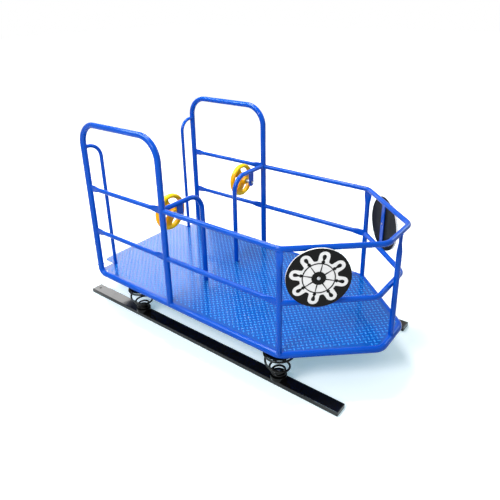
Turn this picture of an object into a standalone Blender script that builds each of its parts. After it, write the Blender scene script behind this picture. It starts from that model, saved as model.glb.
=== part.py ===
"""Boat-shaped spring rider: a railed deck on four conical springs and two ground rails.

Metres, +Z up. The bow points along +X, port is +Y and starboard is -Y.
Sizes are first given from the rear posts and the deck's top, and at() moves them to the
object's own origin, which is the bottom centre of its box.
"""

import math

import bmesh
import bpy
from mathutils import Vector

# Clearances, and what cutters and chamfers share
GAP = 0.0003
SLIDE_FIT = 0.0005
CUT_LENGTH = 0.1
CHAMFER = 0.003
FINE_CHAMFER = 0.0015

# Ground rails
RAIL_WIDTH = 0.09
RAIL_THICKNESS = 0.03
RAIL_REAR_X = -0.2
RAIL_FRONT_X = 2.045
RAIL_INSET = 0.064
RAIL_EDGE = 0.004
ANCHOR_HOLE_RADIUS = 0.009
ANCHOR_HOLE_INSET = 0.05

# Height of the deck's top over the ground rails
DECK_HEIGHT = 0.246

# Springs, from the seat up
REAR_SPRING_X = 0.375
FRONT_SPRING_INSET = 0.045
WIRE_RADIUS = 0.007
SEAT_HEIGHT = 0.028
SEAT_RADIUS = 0.054
SEAT_SPIGOT_HEIGHT = 0.02
COIL_BASE_RADIUS = 0.041
COIL_TOP_RADIUS = 0.094
COIL_END_RADIUS = 0.082
BASE_TURNS = 2.0
OPEN_TURNS = 1.25
TOP_TURNS = 0.75
SPREAD_TURNS = (1.0, 2.9)
BASE_PITCH = 0.026
POINTS_PER_TURN = 9
COIL_REST_ANGLE = 37.8
SPRING_PLATE_RADIUS = 0.089
SPRING_PLATE_THICKNESS = 0.006
SPRING_BOSS_DEPTH = 0.008
SPRING_BOSS_CLEARANCE = 0.004
BOLT_RADIUS = 0.006
BOLT_HEAD_RADIUS = 0.010
BOLT_HEAD_HEIGHT = 0.0075
BOLT_END_COVER = 0.002

# Deck
HALF_WIDTH = 0.55
BOW_X = 1.655
BOW_LENGTH = 0.445
NOSE_HALF_WIDTH = 0.155
RIM_RADIUS = 0.0212
RIM_DEPTH = 0.017
RIM_NOSE_REACH = 0.015
RIM_ELBOW_RADIUS = 0.05
RIM_ELBOW_TOP = 0.055
ELBOW_RELIEF_HEIGHT = 0.02
PLATE_THICKNESS = 0.003
TONGUE_REACH = 0.13
TONGUE_INSET = 0.125
TONGUE_CORNER = 0.035

# Frame under the deck
BEAM_WIDTH = 0.06
BEAM_HEIGHT = 0.04
BEAM_WALL = 0.003
STRINGER_WIDTH = 0.04
STRINGER_Y = 0.2

# Railing
POST_RADIUS = 0.0212
RAIL_TUBE_RADIUS = 0.01685
HANDLE_RADIUS = 0.01345
CROSSBAR_RADIUS = 0.0150
FRONT_POST_X = 0.75
HOOP_TOP = 1.16
HOOP_BEND = 0.15
LOWER_BAR = 0.345
UPPER_BAR = 0.685
BOW_BEND = 0.09
LOWER_NOSE_INSET = 0.022
POST_SINK = 0.005
PINCH_LENGTH = 0.06
PRESSED_BAR = (1.35, 0.5)
PRESSED_RAIL = (1.3, 0.5)
PRESSED_POST = (1.45, 0.5)
DRAWN_POST = (0.62, 0.62)
HANDLE_TOP = 0.985
HANDLE_INSET = 0.133
HANDLE_BEND = 0.1
FRAME_TOP = 0.69
FRAME_INSET = 0.37
FRAME_BEND = 0.12

# Steering wheels
WHEEL_REAR_OF_POST = 0.098
WHEEL_INSET = 0.16
WHEEL_BELOW_BAR = 0.09
WHEEL_RADIUS = 0.114
WHEEL_GRIP_RADIUS = 0.0125
WHEEL_GRIP_DEPTH = 0.017
SPOKES = 3
SPOKE_REST_ANGLE = 125.0
SPOKE_WIDTH = 0.056
SPOKE_THICKNESS = 0.012
HUB_RADIUS = 0.034
HUB_REAR = 0.004
HUB_LENGTH = 0.046
HUB_RIM_LENGTH = 0.02
HUB_NOSE_RADIUS = 0.026
SPOKE_INSET = 0.006
SLEEVE_RADIUS = 0.0125
BRACKET_WIDTH = 0.052
BRACKET_THICKNESS = 0.008
BRACKET_BELOW_AXLE = 0.034
NUT_RADIUS = 0.011
NUT_HEIGHT = 0.010
BOLT_END = 0.004

# Round bow panels
PANEL_RADIUS = 0.1835
PANEL_THICKNESS = 0.012
PANEL_ALONG = 0.2115
PANEL_SPACER = 0.003
PANEL_SPACER_RADIUS = 0.013
STRAP_WIDTH = 0.04
STRAP_THICKNESS = 0.006
PANEL_HEAD_RADIUS = 0.011
PANEL_HEAD_HEIGHT = 0.005
DOME_STEPS = 4

# Places that follow from the sizes above
NOSE_X = BOW_X + BOW_LENGTH
RIM_NOSE_X = NOSE_X + RIM_NOSE_REACH
LOWER_NOSE_X = NOSE_X - LOWER_NOSE_INSET
NOSE_POST_X = LOWER_NOSE_X + 2 * RAIL_TUBE_RADIUS + GAP
SPRING_X = (REAR_SPRING_X, BOW_X - FRONT_SPRING_INSET)
RAIL_Y = HALF_WIDTH - RAIL_INSET
TONGUE_HALF_WIDTH = HALF_WIDTH - TONGUE_INSET
HANDLE_Y = HALF_WIDTH - HANDLE_INSET
FRAME_Y = HALF_WIDTH - FRAME_INSET
WHEEL_X = FRONT_POST_X - WHEEL_REAR_OF_POST
WHEEL_Y = HALF_WIDTH - WHEEL_INSET
WHEEL_Z = FRAME_TOP - WHEEL_BELOW_BAR
GROUND_TO_DECK = RAIL_THICKNESS + DECK_HEIGHT
MIDDLE_X = (RAIL_REAR_X + RIM_NOSE_X + RIM_RADIUS) / 2
RIM_Z = -RIM_DEPTH
BEAM_TOP = -PLATE_THICKNESS - GAP
BEAM_BOTTOM = BEAM_TOP - BEAM_HEIGHT
SIDES = (("starboard", -1), ("port", 1))
TUBE_RESOLUTION = 3
FACET_SHARE = math.cos(math.pi / (4 + 2 * TUBE_RESOLUTION))


def at(x, y, z):
    """A place measured from the rear posts and the deck's top, in the object's own frame."""
    return Vector((x - MIDDLE_X, y, z + GROUND_TO_DECK))


# Scene, collections and materials

for old in list(bpy.data.objects):
    bpy.data.objects.remove(old)

parts = bpy.data.collections.new("spring_rider")
cutters = bpy.data.collections.new("spring_rider_cutters")
bpy.context.scene.collection.children.link(parts)
bpy.context.scene.collection.children.link(cutters)


def make_material(name, colour, roughness, metallic):
    material = bpy.data.materials.new(name)
    material.use_nodes = True
    shader = material.node_tree.nodes["Principled BSDF"]
    shader.inputs["Base Color"].default_value = (*colour, 1.0)
    shader.inputs["Roughness"].default_value = roughness
    shader.inputs["Metallic"].default_value = metallic
    return material


BLUE = make_material("blue_powder_coat", (0.005, 0.07, 0.55), 0.25, 0.0)
DECK_BLUE = make_material("blue_tread_plate", (0.02, 0.10, 0.52), 0.3, 0.0)
BLACK = make_material("black_powder_coat", (0.012, 0.012, 0.014), 0.3, 0.0)
SPRING_BLACK = make_material("black_spring_steel", (0.008, 0.008, 0.009), 0.28, 0.0)
YELLOW = make_material("yellow_plastic", (0.95, 0.55, 0.01), 0.3, 0.0)
PANEL_BLACK = make_material("black_panel", (0.02, 0.02, 0.022), 0.5, 0.0)
STEEL = make_material("zinc_plated_steel", (0.62, 0.63, 0.65), 0.3, 1.0)


def dress(thing, name, material, smooth_angle=None):
    """Names an object and its mesh and gives it its material."""
    thing.name = name
    thing.data.name = name
    thing.data.materials.clear()
    thing.data.materials.append(material)
    if smooth_angle is not None and thing.type == "MESH":
        thing.data.shade_smooth()
        thing.data.set_sharp_from_angle(angle=math.radians(smooth_angle))
    return thing


def make_cutter(thing):
    """Turns an object into a cutter, which isn't part of the model."""
    for holder in list(thing.users_collection):
        holder.objects.unlink(thing)
    cutters.objects.link(thing)
    thing.hide_render = True
    thing.display_type = "WIRE"
    return thing


def combine(thing, other, operation="DIFFERENCE"):
    """Adds an exact Boolean with another object, which becomes a cutter."""
    if other.name not in cutters.objects:
        make_cutter(other)
    modifier = thing.modifiers.new(operation.lower(), "BOOLEAN")
    modifier.operation = operation
    modifier.solver = "EXACT"
    modifier.object = other
    return thing


# Shapes

def mesh_object(name, shape):
    mesh = bpy.data.meshes.new(name)
    shape.to_mesh(mesh)
    shape.free()
    thing = bpy.data.objects.new(name, mesh)
    parts.objects.link(thing)
    return thing


def block(name, low, high):
    """A box between two corners, with its origin in its middle."""
    low, high = Vector(low), Vector(high)
    shape = bmesh.new()
    bmesh.ops.create_cube(shape, size=1.0)
    bmesh.ops.scale(shape, vec=high - low, verts=shape.verts)
    thing = mesh_object(name, shape)
    thing.location = (low + high) / 2
    return thing


def cylinder(name, radius, length, sides=24):
    """A cylinder along its own Z with its middle at its origin."""
    shape = bmesh.new()
    bmesh.ops.create_cone(
        shape,
        cap_ends=True,
        segments=sides,
        radius1=radius,
        radius2=radius,
        depth=length,
    )
    return mesh_object(name, shape)


def turned(name, profile, closed=False, steps=20):
    """A profile of (radius, height) points that runs down its outer side, turned about Z."""
    mesh = bpy.data.meshes.new(name)
    corners = [(radius, 0.0, height) for radius, height in profile]
    edges = [(i, i + 1) for i in range(len(corners) - 1)]
    if closed:
        edges.append((len(corners) - 1, 0))
    mesh.from_pydata(corners, edges, [])
    thing = bpy.data.objects.new(name, mesh)
    parts.objects.link(thing)
    screw = thing.modifiers.new("turn", "SCREW")
    screw.axis = "Z"
    screw.steps = steps
    screw.render_steps = steps
    screw.use_merge_vertices = True
    screw.merge_threshold = 0.00002
    screw.use_smooth_shade = True
    return thing


def point_along(thing, place, direction):
    """Puts an object at a place with its own Z along a direction."""
    thing.rotation_euler = Vector(direction).to_track_quat("Z", "Y").to_euler()
    thing.location = place
    return thing


def rounded_path(corners, radii, degrees_per_step=15.0):
    """Corner points joined by straight runs, with each inner corner rounded by an arc."""
    path = [Vector(corners[0])]
    for before, corner, after, radius in zip(corners, corners[1:], corners[2:], radii):
        before, corner, after = Vector(before), Vector(corner), Vector(after)
        come = (corner - before).normalized()
        leave = (after - corner).normalized()
        turn = come.angle(leave)
        reach = radius * math.tan(turn / 2)
        start = corner - come * reach
        inward = (leave - come * leave.dot(come)).normalized()
        centre = start + inward * radius
        steps = max(2, round(math.degrees(turn) / degrees_per_step))
        for step in range(steps + 1):
            angle = turn * step / steps
            path.append(centre - inward * radius * math.cos(angle) + come * radius * math.sin(angle))
    path.append(Vector(corners[-1]))
    return path


def tube_curve(name, path, radius, resolution):
    """A round bar along a path, as a curve with filled ends."""
    curve = bpy.data.curves.new(name, "CURVE")
    curve.dimensions = "3D"
    curve.bevel_depth = radius
    curve.bevel_resolution = resolution
    curve.use_fill_caps = True
    spline = curve.splines.new("POLY")
    spline.points.add(len(path) - 1)
    for point, place in zip(spline.points, path):
        point.co = (*place, 1.0)
    thing = bpy.data.objects.new(name, curve)
    parts.objects.link(thing)
    return thing


def as_mesh(thing):
    """A curve object made a mesh object, with its end caps welded on."""
    graph = bpy.context.evaluated_depsgraph_get()
    mesh = bpy.data.meshes.new_from_object(thing.evaluated_get(graph))
    shape = bmesh.new()
    shape.from_mesh(mesh)
    bmesh.ops.remove_doubles(shape, verts=shape.verts, dist=0.00001)
    bmesh.ops.recalc_face_normals(shape, faces=shape.faces)
    shape.to_mesh(mesh)
    shape.free()
    name = thing.name
    place = thing.matrix_world.copy()
    bpy.data.objects.remove(thing)
    solid = bpy.data.objects.new(name, mesh)
    solid.matrix_world = place
    parts.objects.link(solid)
    return solid


def tube(name, path, radius, resolution=TUBE_RESOLUTION):
    """A round bar along a path, as a mesh object."""
    return as_mesh(tube_curve(name, path, radius, resolution))


def outline(name, loops, thickness):
    """Closed outlines in the XY plane filled and thickened, the first one outermost."""
    curve = bpy.data.curves.new(name, "CURVE")
    curve.dimensions = "2D"
    curve.fill_mode = "BOTH"
    curve.extrude = thickness / 2
    for loop in loops:
        spline = curve.splines.new("POLY")
        spline.points.add(len(loop) - 1)
        for point, (x, y) in zip(spline.points, loop):
            point.co = (x, y, 0.0, 1.0)
        spline.use_cyclic_u = True
    thing = bpy.data.objects.new(name, curve)
    parts.objects.link(thing)
    return thing


def rectangle(width, height):
    return [
        (-width / 2, -height / 2),
        (width / 2, -height / 2),
        (width / 2, height / 2),
        (-width / 2, height / 2),
    ]


def squeeze(thing, end, inward, wide, factors):
    """Presses the end of a bar flatter: wide grows and the third direction shrinks."""
    end, inward, wide = Vector(end), Vector(inward), Vector(wide)
    thin = inward.cross(wide)
    wider, thinner = factors
    for vertex in thing.data.vertices:
        offset = vertex.co - end
        run = offset.dot(inward)
        if run > PINCH_LENGTH:
            continue
        share = 1.0 - max(run, 0.0) / PINCH_LENGTH
        amount = share * share * (3.0 - 2.0 * share)
        across = offset.dot(wide) * (1.0 + (wider - 1.0) * amount)
        through = offset.dot(thin) * (1.0 + (thinner - 1.0) * amount)
        vertex.co = end + inward * run + wide * across + thin * through
    return thing


def pinched_run(start, finish, at_start, at_finish):
    """Points along a straight bar, closer together where an end is pressed flat."""
    start, finish = Vector(start), Vector(finish)
    direction = (finish - start).normalized()
    steps = [PINCH_LENGTH * share for share in (0.3, 0.55, 0.8, 1.0)]
    path = [start]
    if at_start:
        path += [start + direction * step for step in steps]
    if at_finish:
        path += [finish - direction * step for step in reversed(steps)]
    return path + [finish]


# Ground rails, seats and springs

def rail_hole(name, radius, x, side):
    hole = cylinder(name, radius, RAIL_THICKNESS * 3)
    hole.location = at(x, side * RAIL_Y, -DECK_HEIGHT - RAIL_THICKNESS / 2)
    return hole


def make_ground_rail(word, side):
    inner = side * RAIL_Y - RAIL_WIDTH / 2
    outer = side * RAIL_Y + RAIL_WIDTH / 2
    rail = block(
        f"ground_rail_{word}",
        at(RAIL_REAR_X, inner, -DECK_HEIGHT - RAIL_THICKNESS),
        at(RAIL_FRONT_X, outer, -DECK_HEIGHT),
    )
    edge = rail.modifiers.new("edge", "BEVEL")
    edge.width = RAIL_EDGE
    edge.segments = 2
    anchor_x = RAIL_REAR_X + ANCHOR_HOLE_INSET
    combine(rail, rail_hole(f"anchor_hole_{word}", ANCHOR_HOLE_RADIUS, anchor_x, side))
    for number, x in enumerate(SPRING_X):
        combine(rail, rail_hole(f"seat_hole_{word}_{number}", BOLT_RADIUS + GAP, x, side))
    return dress(rail, f"ground_rail_{word}", BLACK)


def make_seat(name, x, side):
    """A round seat on the rail whose spigot holds the spring's closed lower turns."""
    chord = COIL_BASE_RADIUS * math.cos(math.pi / POINTS_PER_TURN)
    spigot = chord - WIRE_RADIUS - SLIDE_FIT
    bore = BOLT_RADIUS + GAP
    top = SEAT_HEIGHT + SEAT_SPIGOT_HEIGHT
    profile = [
        (bore, top),
        (spigot - CHAMFER, top),
        (spigot, top - CHAMFER),
        (spigot, SEAT_HEIGHT),
        (SEAT_RADIUS - CHAMFER, SEAT_HEIGHT),
        (SEAT_RADIUS, SEAT_HEIGHT - CHAMFER),
        (SEAT_RADIUS, 0.0),
        (bore, 0.0),
    ]
    seat = turned(name, profile, closed=True)
    seat.location = at(x, side * RAIL_Y, -DECK_HEIGHT + GAP)
    return dress(seat, name, BLACK)


def make_seat_bolt(name, x, side):
    """A hexagon bolt that stands head up on the seat and ends inside the ground rail."""
    head_z = SEAT_HEIGHT + SEAT_SPIGOT_HEIGHT + 2 * GAP
    length = head_z + RAIL_THICKNESS - BOLT_END_COVER
    bolt = cylinder(name, BOLT_RADIUS, length, sides=12)
    bolt.location = at(x, side * RAIL_Y, -DECK_HEIGHT + head_z - length / 2 + BOLT_HEAD_HEIGHT / 2)
    head = cylinder(name + "_head", BOLT_HEAD_RADIUS, BOLT_HEAD_HEIGHT, sides=6)
    head.location = at(x, side * RAIL_Y, -DECK_HEIGHT + head_z + BOLT_HEAD_HEIGHT / 2)
    combine(bolt, head, "UNION")
    return dress(bolt, name, STEEL)


COIL_BOTTOM = -DECK_HEIGHT + GAP + SEAT_HEIGHT + GAP + WIRE_RADIUS
COIL_TOP = BEAM_BOTTOM - GAP - SPRING_PLATE_THICKNESS - GAP - WIRE_RADIUS


def coil_radius(turn):
    """The coil's radius after a number of turns from its lower end."""
    first, last = SPREAD_TURNS
    grown = min(max(turn - first, 0.0) / (last - first), 1.0)
    radius = COIL_BASE_RADIUS + (COIL_TOP_RADIUS - COIL_BASE_RADIUS) * grown
    closing = max(turn - BASE_TURNS - OPEN_TURNS, 0.0) / TOP_TURNS
    return radius + (COIL_END_RADIUS - COIL_TOP_RADIUS) * closing


def coil_height(turn):
    """The height after a number of turns: closed turns, open turns, then a level end."""
    base = BASE_PITCH * BASE_TURNS
    rise = COIL_TOP - COIL_BOTTOM - base
    if turn <= BASE_TURNS:
        return COIL_BOTTOM + BASE_PITCH * turn
    share = min((turn - BASE_TURNS) / OPEN_TURNS, 1.0)
    slope = BASE_PITCH * OPEN_TURNS / rise
    eased = slope * share + (3.0 - 2.0 * slope) * share ** 2 + (slope - 2.0) * share ** 3
    return COIL_BOTTOM + base + rise * eased


def coil_path():
    """The wire's centre line about the Z axis, wound to the left as it climbs clockwise."""
    turns = BASE_TURNS + OPEN_TURNS + TOP_TURNS
    steps = round(turns * POINTS_PER_TURN)
    winding = []
    for step in range(steps + 1):
        turn = turns * step / steps
        angle = math.radians(COIL_REST_ANGLE) - 2.0 * math.pi * turn
        radius = coil_radius(turn)
        winding.append(Vector((radius * math.cos(angle), radius * math.sin(angle), coil_height(turn))))
    lead_in = straight_end(winding[0], winding[1])
    lead_out = straight_end(winding[-1], winding[-2])
    return [lead_in] + winding + [lead_out]


def straight_end(end, neighbour):
    """A level point one wire diameter past the end of a winding."""
    outward = end - neighbour
    outward.z = 0.0
    return end + outward.normalized() * 2.0 * WIRE_RADIUS


def least_gap(path):
    """The least clear distance between the wire's surface on different turns."""
    apart = round(POINTS_PER_TURN * 0.6)
    least = math.inf
    for i, first in enumerate(path[:-1]):
        for j in range(i + apart, len(path) - 1):
            for share in (0.0, 0.5):
                here = first.lerp(path[i + 1], share)
                for other in (0.0, 0.5):
                    least = min(least, (here - path[j].lerp(path[j + 1], other)).length)
    return least - 2.0 * WIRE_RADIUS


def make_spring(name, x, side):
    """One unbroken coil, narrow on its seat and wide under the deck."""
    spring = tube(name, coil_path(), WIRE_RADIUS, resolution=1)
    spring.location = at(x, side * RAIL_Y, 0.0)
    spring.rotation_euler = (0.0, 0.0, math.pi if side > 0 else 0.0)
    return dress(spring, name, SPRING_BLACK, 60)


def make_spring_plate(name, x, side):
    """A round plate under the cross beam, with a boss inside the spring's top turn."""
    boss = COIL_END_RADIUS - WIRE_RADIUS - SPRING_BOSS_CLEARANCE
    low = -SPRING_PLATE_THICKNESS - SPRING_BOSS_DEPTH
    profile = [
        (0.0, 0.0),
        (SPRING_PLATE_RADIUS, 0.0),
        (SPRING_PLATE_RADIUS, -SPRING_PLATE_THICKNESS),
        (boss, -SPRING_PLATE_THICKNESS),
        (boss, low + CHAMFER),
        (boss - CHAMFER, low),
        (0.0, low),
    ]
    plate = turned(name, profile)
    plate.location = at(x, side * RAIL_Y, BEAM_BOTTOM - GAP)
    return dress(plate, name, BLACK)


# Deck, rim and the frame under them

def diagonal_half_width(x):
    """Half of the width between the bow's two diagonals at a place along the boat."""
    share = (x - BOW_X) / (NOSE_X - BOW_X)
    return HALF_WIDTH + (NOSE_HALF_WIDTH - HALF_WIDTH) * share


def bow_corners(nose_x, z):
    """The corners of a tube round the bow, from starboard to port."""
    half = diagonal_half_width(nose_x)
    return [
        at(BOW_X, -HALF_WIDTH, z),
        at(nose_x, -half, z),
        at(nose_x, half, z),
        at(BOW_X, HALF_WIDTH, z),
    ]


def rim_path():
    start = at(0.0, -HALF_WIDTH, RIM_ELBOW_TOP)
    low = at(0.0, -HALF_WIDTH, RIM_Z)
    far_low = at(0.0, HALF_WIDTH, RIM_Z)
    finish = at(0.0, HALF_WIDTH, RIM_ELBOW_TOP)
    corners = [start, low, *bow_corners(RIM_NOSE_X, RIM_Z), far_low, finish]
    radii = [RIM_ELBOW_RADIUS] + [BOW_BEND] * 4 + [RIM_ELBOW_RADIUS]
    return rounded_path(corners, radii)


def rim_cutter(name):
    return make_cutter(tube(name, rim_path(), RIM_RADIUS + GAP, resolution=4))


def post_hole(name, x, y, radius):
    hole = cylinder(name, radius + GAP, CUT_LENGTH)
    hole.location = at(x, y, 0.0)
    return hole


def corner_arc(centre_x, centre_y, radius, start, finish, steps=4):
    """Points on an arc between two angles in degrees."""
    points = []
    for step in range(steps + 1):
        angle = math.radians(start + (finish - start) * step / steps)
        points.append((centre_x + radius * math.cos(angle), centre_y + radius * math.sin(angle)))
    return points


def make_deck():
    """The tread plate: its edge follows the rim tube, and a tongue reaches back."""
    bow = [(x + MIDDLE_X, y) for x, y, _ in rounded_path(
        [at(0.0, -HALF_WIDTH, 0.0), *bow_corners(RIM_NOSE_X, 0.0), at(0.0, HALF_WIDTH, 0.0)],
        [BOW_BEND] * 4,
    )]
    arc_x = -TONGUE_REACH + TONGUE_CORNER
    arc_y = TONGUE_HALF_WIDTH - TONGUE_CORNER
    port_corner = corner_arc(arc_x, arc_y, TONGUE_CORNER, 90, 180)
    starboard_corner = corner_arc(arc_x, -arc_y, TONGUE_CORNER, 180, 270)
    step_x = -POST_RADIUS
    edge = bow + [(step_x, HALF_WIDTH), (step_x, TONGUE_HALF_WIDTH)]
    edge += port_corner + starboard_corner
    edge += [(step_x, -TONGUE_HALF_WIDTH), (step_x, -HALF_WIDTH)]
    plate = outline("deck_plate", [[(x - MIDDLE_X, y) for x, y in edge]], PLATE_THICKNESS)
    plate.location = (0.0, 0.0, GROUND_TO_DECK - PLATE_THICKNESS / 2)
    bpy.context.view_layer.update()
    plate = as_mesh(plate)
    combine(plate, rim_cutter("rim_seat"))
    for word, side in SIDES:
        y = side * HALF_WIDTH
        combine(plate, post_hole(f"front_post_hole_{word}", FRONT_POST_X, y, POST_RADIUS))
        combine(plate, post_hole(f"bow_post_hole_{word}", BOW_X, y, RAIL_TUBE_RADIUS))
        combine(plate, elbow_relief(word, side))
    combine(plate, post_hole("nose_post_hole", NOSE_POST_X, 0.0, RAIL_TUBE_RADIUS))
    return dress(plate, "deck_plate", DECK_BLUE)


def elbow_relief(word, side):
    """Clears the plate's rear corner away from the foot of the rear post."""
    reach = RIM_RADIUS + GAP
    low = at(-CUT_LENGTH, side * HALF_WIDTH - reach, -ELBOW_RELIEF_HEIGHT)
    high = at(RIM_ELBOW_RADIUS, side * HALF_WIDTH + reach, ELBOW_RELIEF_HEIGHT)
    return block(f"elbow_relief_{word}", low, high)


def hollow_bar(name, width, height, length):
    """A box section with open ends along its own Z."""
    inner = rectangle(width - 2 * BEAM_WALL, height - 2 * BEAM_WALL)
    bar = outline(name, [rectangle(width, height), inner], length)
    return as_mesh(bar)


def make_cross_beam(name, x):
    length = 2.0 * (HALF_WIDTH - RIM_RADIUS)
    beam = hollow_bar(name, BEAM_WIDTH, BEAM_HEIGHT, length)
    beam.rotation_euler = (math.pi / 2, 0.0, 0.0)
    beam.location = at(x, 0.0, BEAM_TOP - BEAM_HEIGHT / 2)
    combine(beam, bpy.data.objects["rim_seat"])
    return dress(beam, name, BLUE)


def make_stringer(name, side):
    start = SPRING_X[0] + BEAM_WIDTH / 2 + GAP
    finish = SPRING_X[1] - BEAM_WIDTH / 2 - GAP
    stringer = hollow_bar(name, BEAM_HEIGHT, STRINGER_WIDTH, finish - start)
    stringer.rotation_euler = (0.0, math.pi / 2, 0.0)
    stringer.location = at((start + finish) / 2, side * STRINGER_Y, BEAM_TOP - BEAM_HEIGHT / 2)
    return dress(stringer, name, BLUE)


# Railing

def make_hoop(word, side):
    y = side * HALF_WIDTH
    corners = [
        at(0.0, y, RIM_ELBOW_TOP + GAP),
        at(0.0, y, HOOP_TOP),
        at(FRONT_POST_X, y, HOOP_TOP),
        at(FRONT_POST_X, y, -POST_SINK),
    ]
    hoop = tube(f"hoop_{word}", rounded_path(corners, [HOOP_BEND] * 2), POST_RADIUS, resolution=4)
    combine(hoop, bpy.data.objects["rim_seat"])
    return dress(hoop, f"hoop_{word}", BLUE, 40)


def make_crossbar(name, side, z):
    y = side * HALF_WIDTH
    start = at(POST_RADIUS + GAP, y, z)
    finish = at(FRONT_POST_X - POST_RADIUS - GAP, y, z)
    bar = tube(name, pinched_run(start, finish, True, True), CROSSBAR_RADIUS)
    squeeze(bar, start, (1, 0, 0), (0, 0, 1), PRESSED_BAR)
    squeeze(bar, finish, (-1, 0, 0), (0, 0, 1), PRESSED_BAR)
    return dress(bar, name, BLUE, 40)


def side_bend(x, side, top, inner_y, bend):
    """From the inner side of a post inwards, then down to the deck."""
    start_y = side * (HALF_WIDTH - POST_RADIUS - GAP)
    corners = [
        at(x, start_y, top),
        at(x, side * inner_y, top),
        at(x, side * inner_y, GAP),
    ]
    return rounded_path(corners, [bend])


def make_handle(word, side):
    path = side_bend(0.0, side, HANDLE_TOP, HANDLE_Y, HANDLE_BEND)
    return dress(tube(f"entrance_handle_{word}", path, HANDLE_RADIUS), f"entrance_handle_{word}", BLUE, 40)


def make_inner_frame(word, side):
    path = side_bend(FRONT_POST_X, side, FRAME_TOP, FRAME_Y, FRAME_BEND)
    return dress(tube(f"inner_frame_{word}", path, RAIL_TUBE_RADIUS), f"inner_frame_{word}", BLUE, 40)


def make_upper_rail():
    start_x = FRONT_POST_X + POST_RADIUS + GAP
    corners = [at(start_x, -HALF_WIDTH, UPPER_BAR), *bow_corners(NOSE_X, UPPER_BAR)]
    corners.append(at(start_x, HALF_WIDTH, UPPER_BAR))
    rail = tube("upper_rail", rounded_path(corners, [BOW_BEND] * 4), RAIL_TUBE_RADIUS)
    return dress(rail, "upper_rail", BLUE, 40)


def make_lower_side_rail(word, side):
    y = side * HALF_WIDTH
    start = at(FRONT_POST_X + POST_RADIUS + GAP, y, LOWER_BAR)
    finish = at(BOW_X - RAIL_TUBE_RADIUS - GAP, y, LOWER_BAR)
    rail = tube(f"lower_side_rail_{word}", pinched_run(start, finish, False, True), RAIL_TUBE_RADIUS)
    squeeze(rail, finish, (-1, 0, 0), (0, 0, 1), PRESSED_RAIL)
    return dress(rail, f"lower_side_rail_{word}", BLUE, 40)


def make_lower_bow_rail():
    """The lower tube round the bow: it starts and ends at the bow posts."""
    corners = bow_corners(LOWER_NOSE_X, LOWER_BAR)
    reach = RAIL_TUBE_RADIUS + GAP
    corners[0] += (corners[1] - corners[0]).normalized() * reach
    corners[-1] += (corners[-2] - corners[-1]).normalized() * reach
    rail = tube("lower_bow_rail", rounded_path(corners, [BOW_BEND] * 2), RAIL_TUBE_RADIUS)
    return dress(rail, "lower_bow_rail", BLUE, 40)


def make_bow_post(word, side):
    """A post whose top is pressed flat under the upper rail."""
    foot = at(BOW_X, side * HALF_WIDTH, -POST_SINK)
    top = at(BOW_X, side * HALF_WIDTH, UPPER_BAR - RAIL_TUBE_RADIUS - GAP)
    post = tube(f"bow_post_{word}", pinched_run(foot, top, False, True), RAIL_TUBE_RADIUS)
    squeeze(post, top, (0, 0, -1), (1, 0, 0), PRESSED_POST)
    combine(post, bpy.data.objects["rim_seat"])
    return dress(post, f"bow_post_{word}", BLUE, 40)


def make_nose_post():
    """A post outside the lower rail whose top is drawn in under the upper rail."""
    foot = at(NOSE_POST_X, 0.0, -POST_SINK)
    top = at(NOSE_POST_X, 0.0, UPPER_BAR - RAIL_TUBE_RADIUS - GAP)
    post = tube("nose_post", pinched_run(foot, top, False, True), RAIL_TUBE_RADIUS)
    squeeze(post, top, (0, 0, -1), (1, 0, 0), DRAWN_POST)
    combine(post, bpy.data.objects["rim_seat"])
    return dress(post, "nose_post", BLUE, 40)


# Steering wheels

BRACKET_REAR = FRONT_POST_X - BRACKET_THICKNESS / 2
BRACKET_FRONT = FRONT_POST_X + BRACKET_THICKNESS / 2


def make_bracket(word, side):
    """A flat lug under the inner frame's top bar, round at its lower end."""
    half = BRACKET_WIDTH / 2
    top = FRAME_TOP - RAIL_TUBE_RADIUS * FACET_SHARE - GAP - WHEEL_Z
    low = half - BRACKET_BELOW_AXLE
    edge = [(half, top), (-half, top)] + corner_arc(0.0, low, half, 180, 360, steps=8)
    hole = corner_arc(0.0, 0.0, BOLT_RADIUS + GAP, 0, 330, steps=11)
    bracket = as_mesh(outline(f"wheel_bracket_{word}", [edge, hole], BRACKET_THICKNESS))
    bracket.rotation_euler = (math.pi / 2, 0.0, math.pi / 2)
    bracket.location = at(FRONT_POST_X, side * WHEEL_Y, WHEEL_Z)
    return dress(bracket, f"wheel_bracket_{word}", BLUE)


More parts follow.
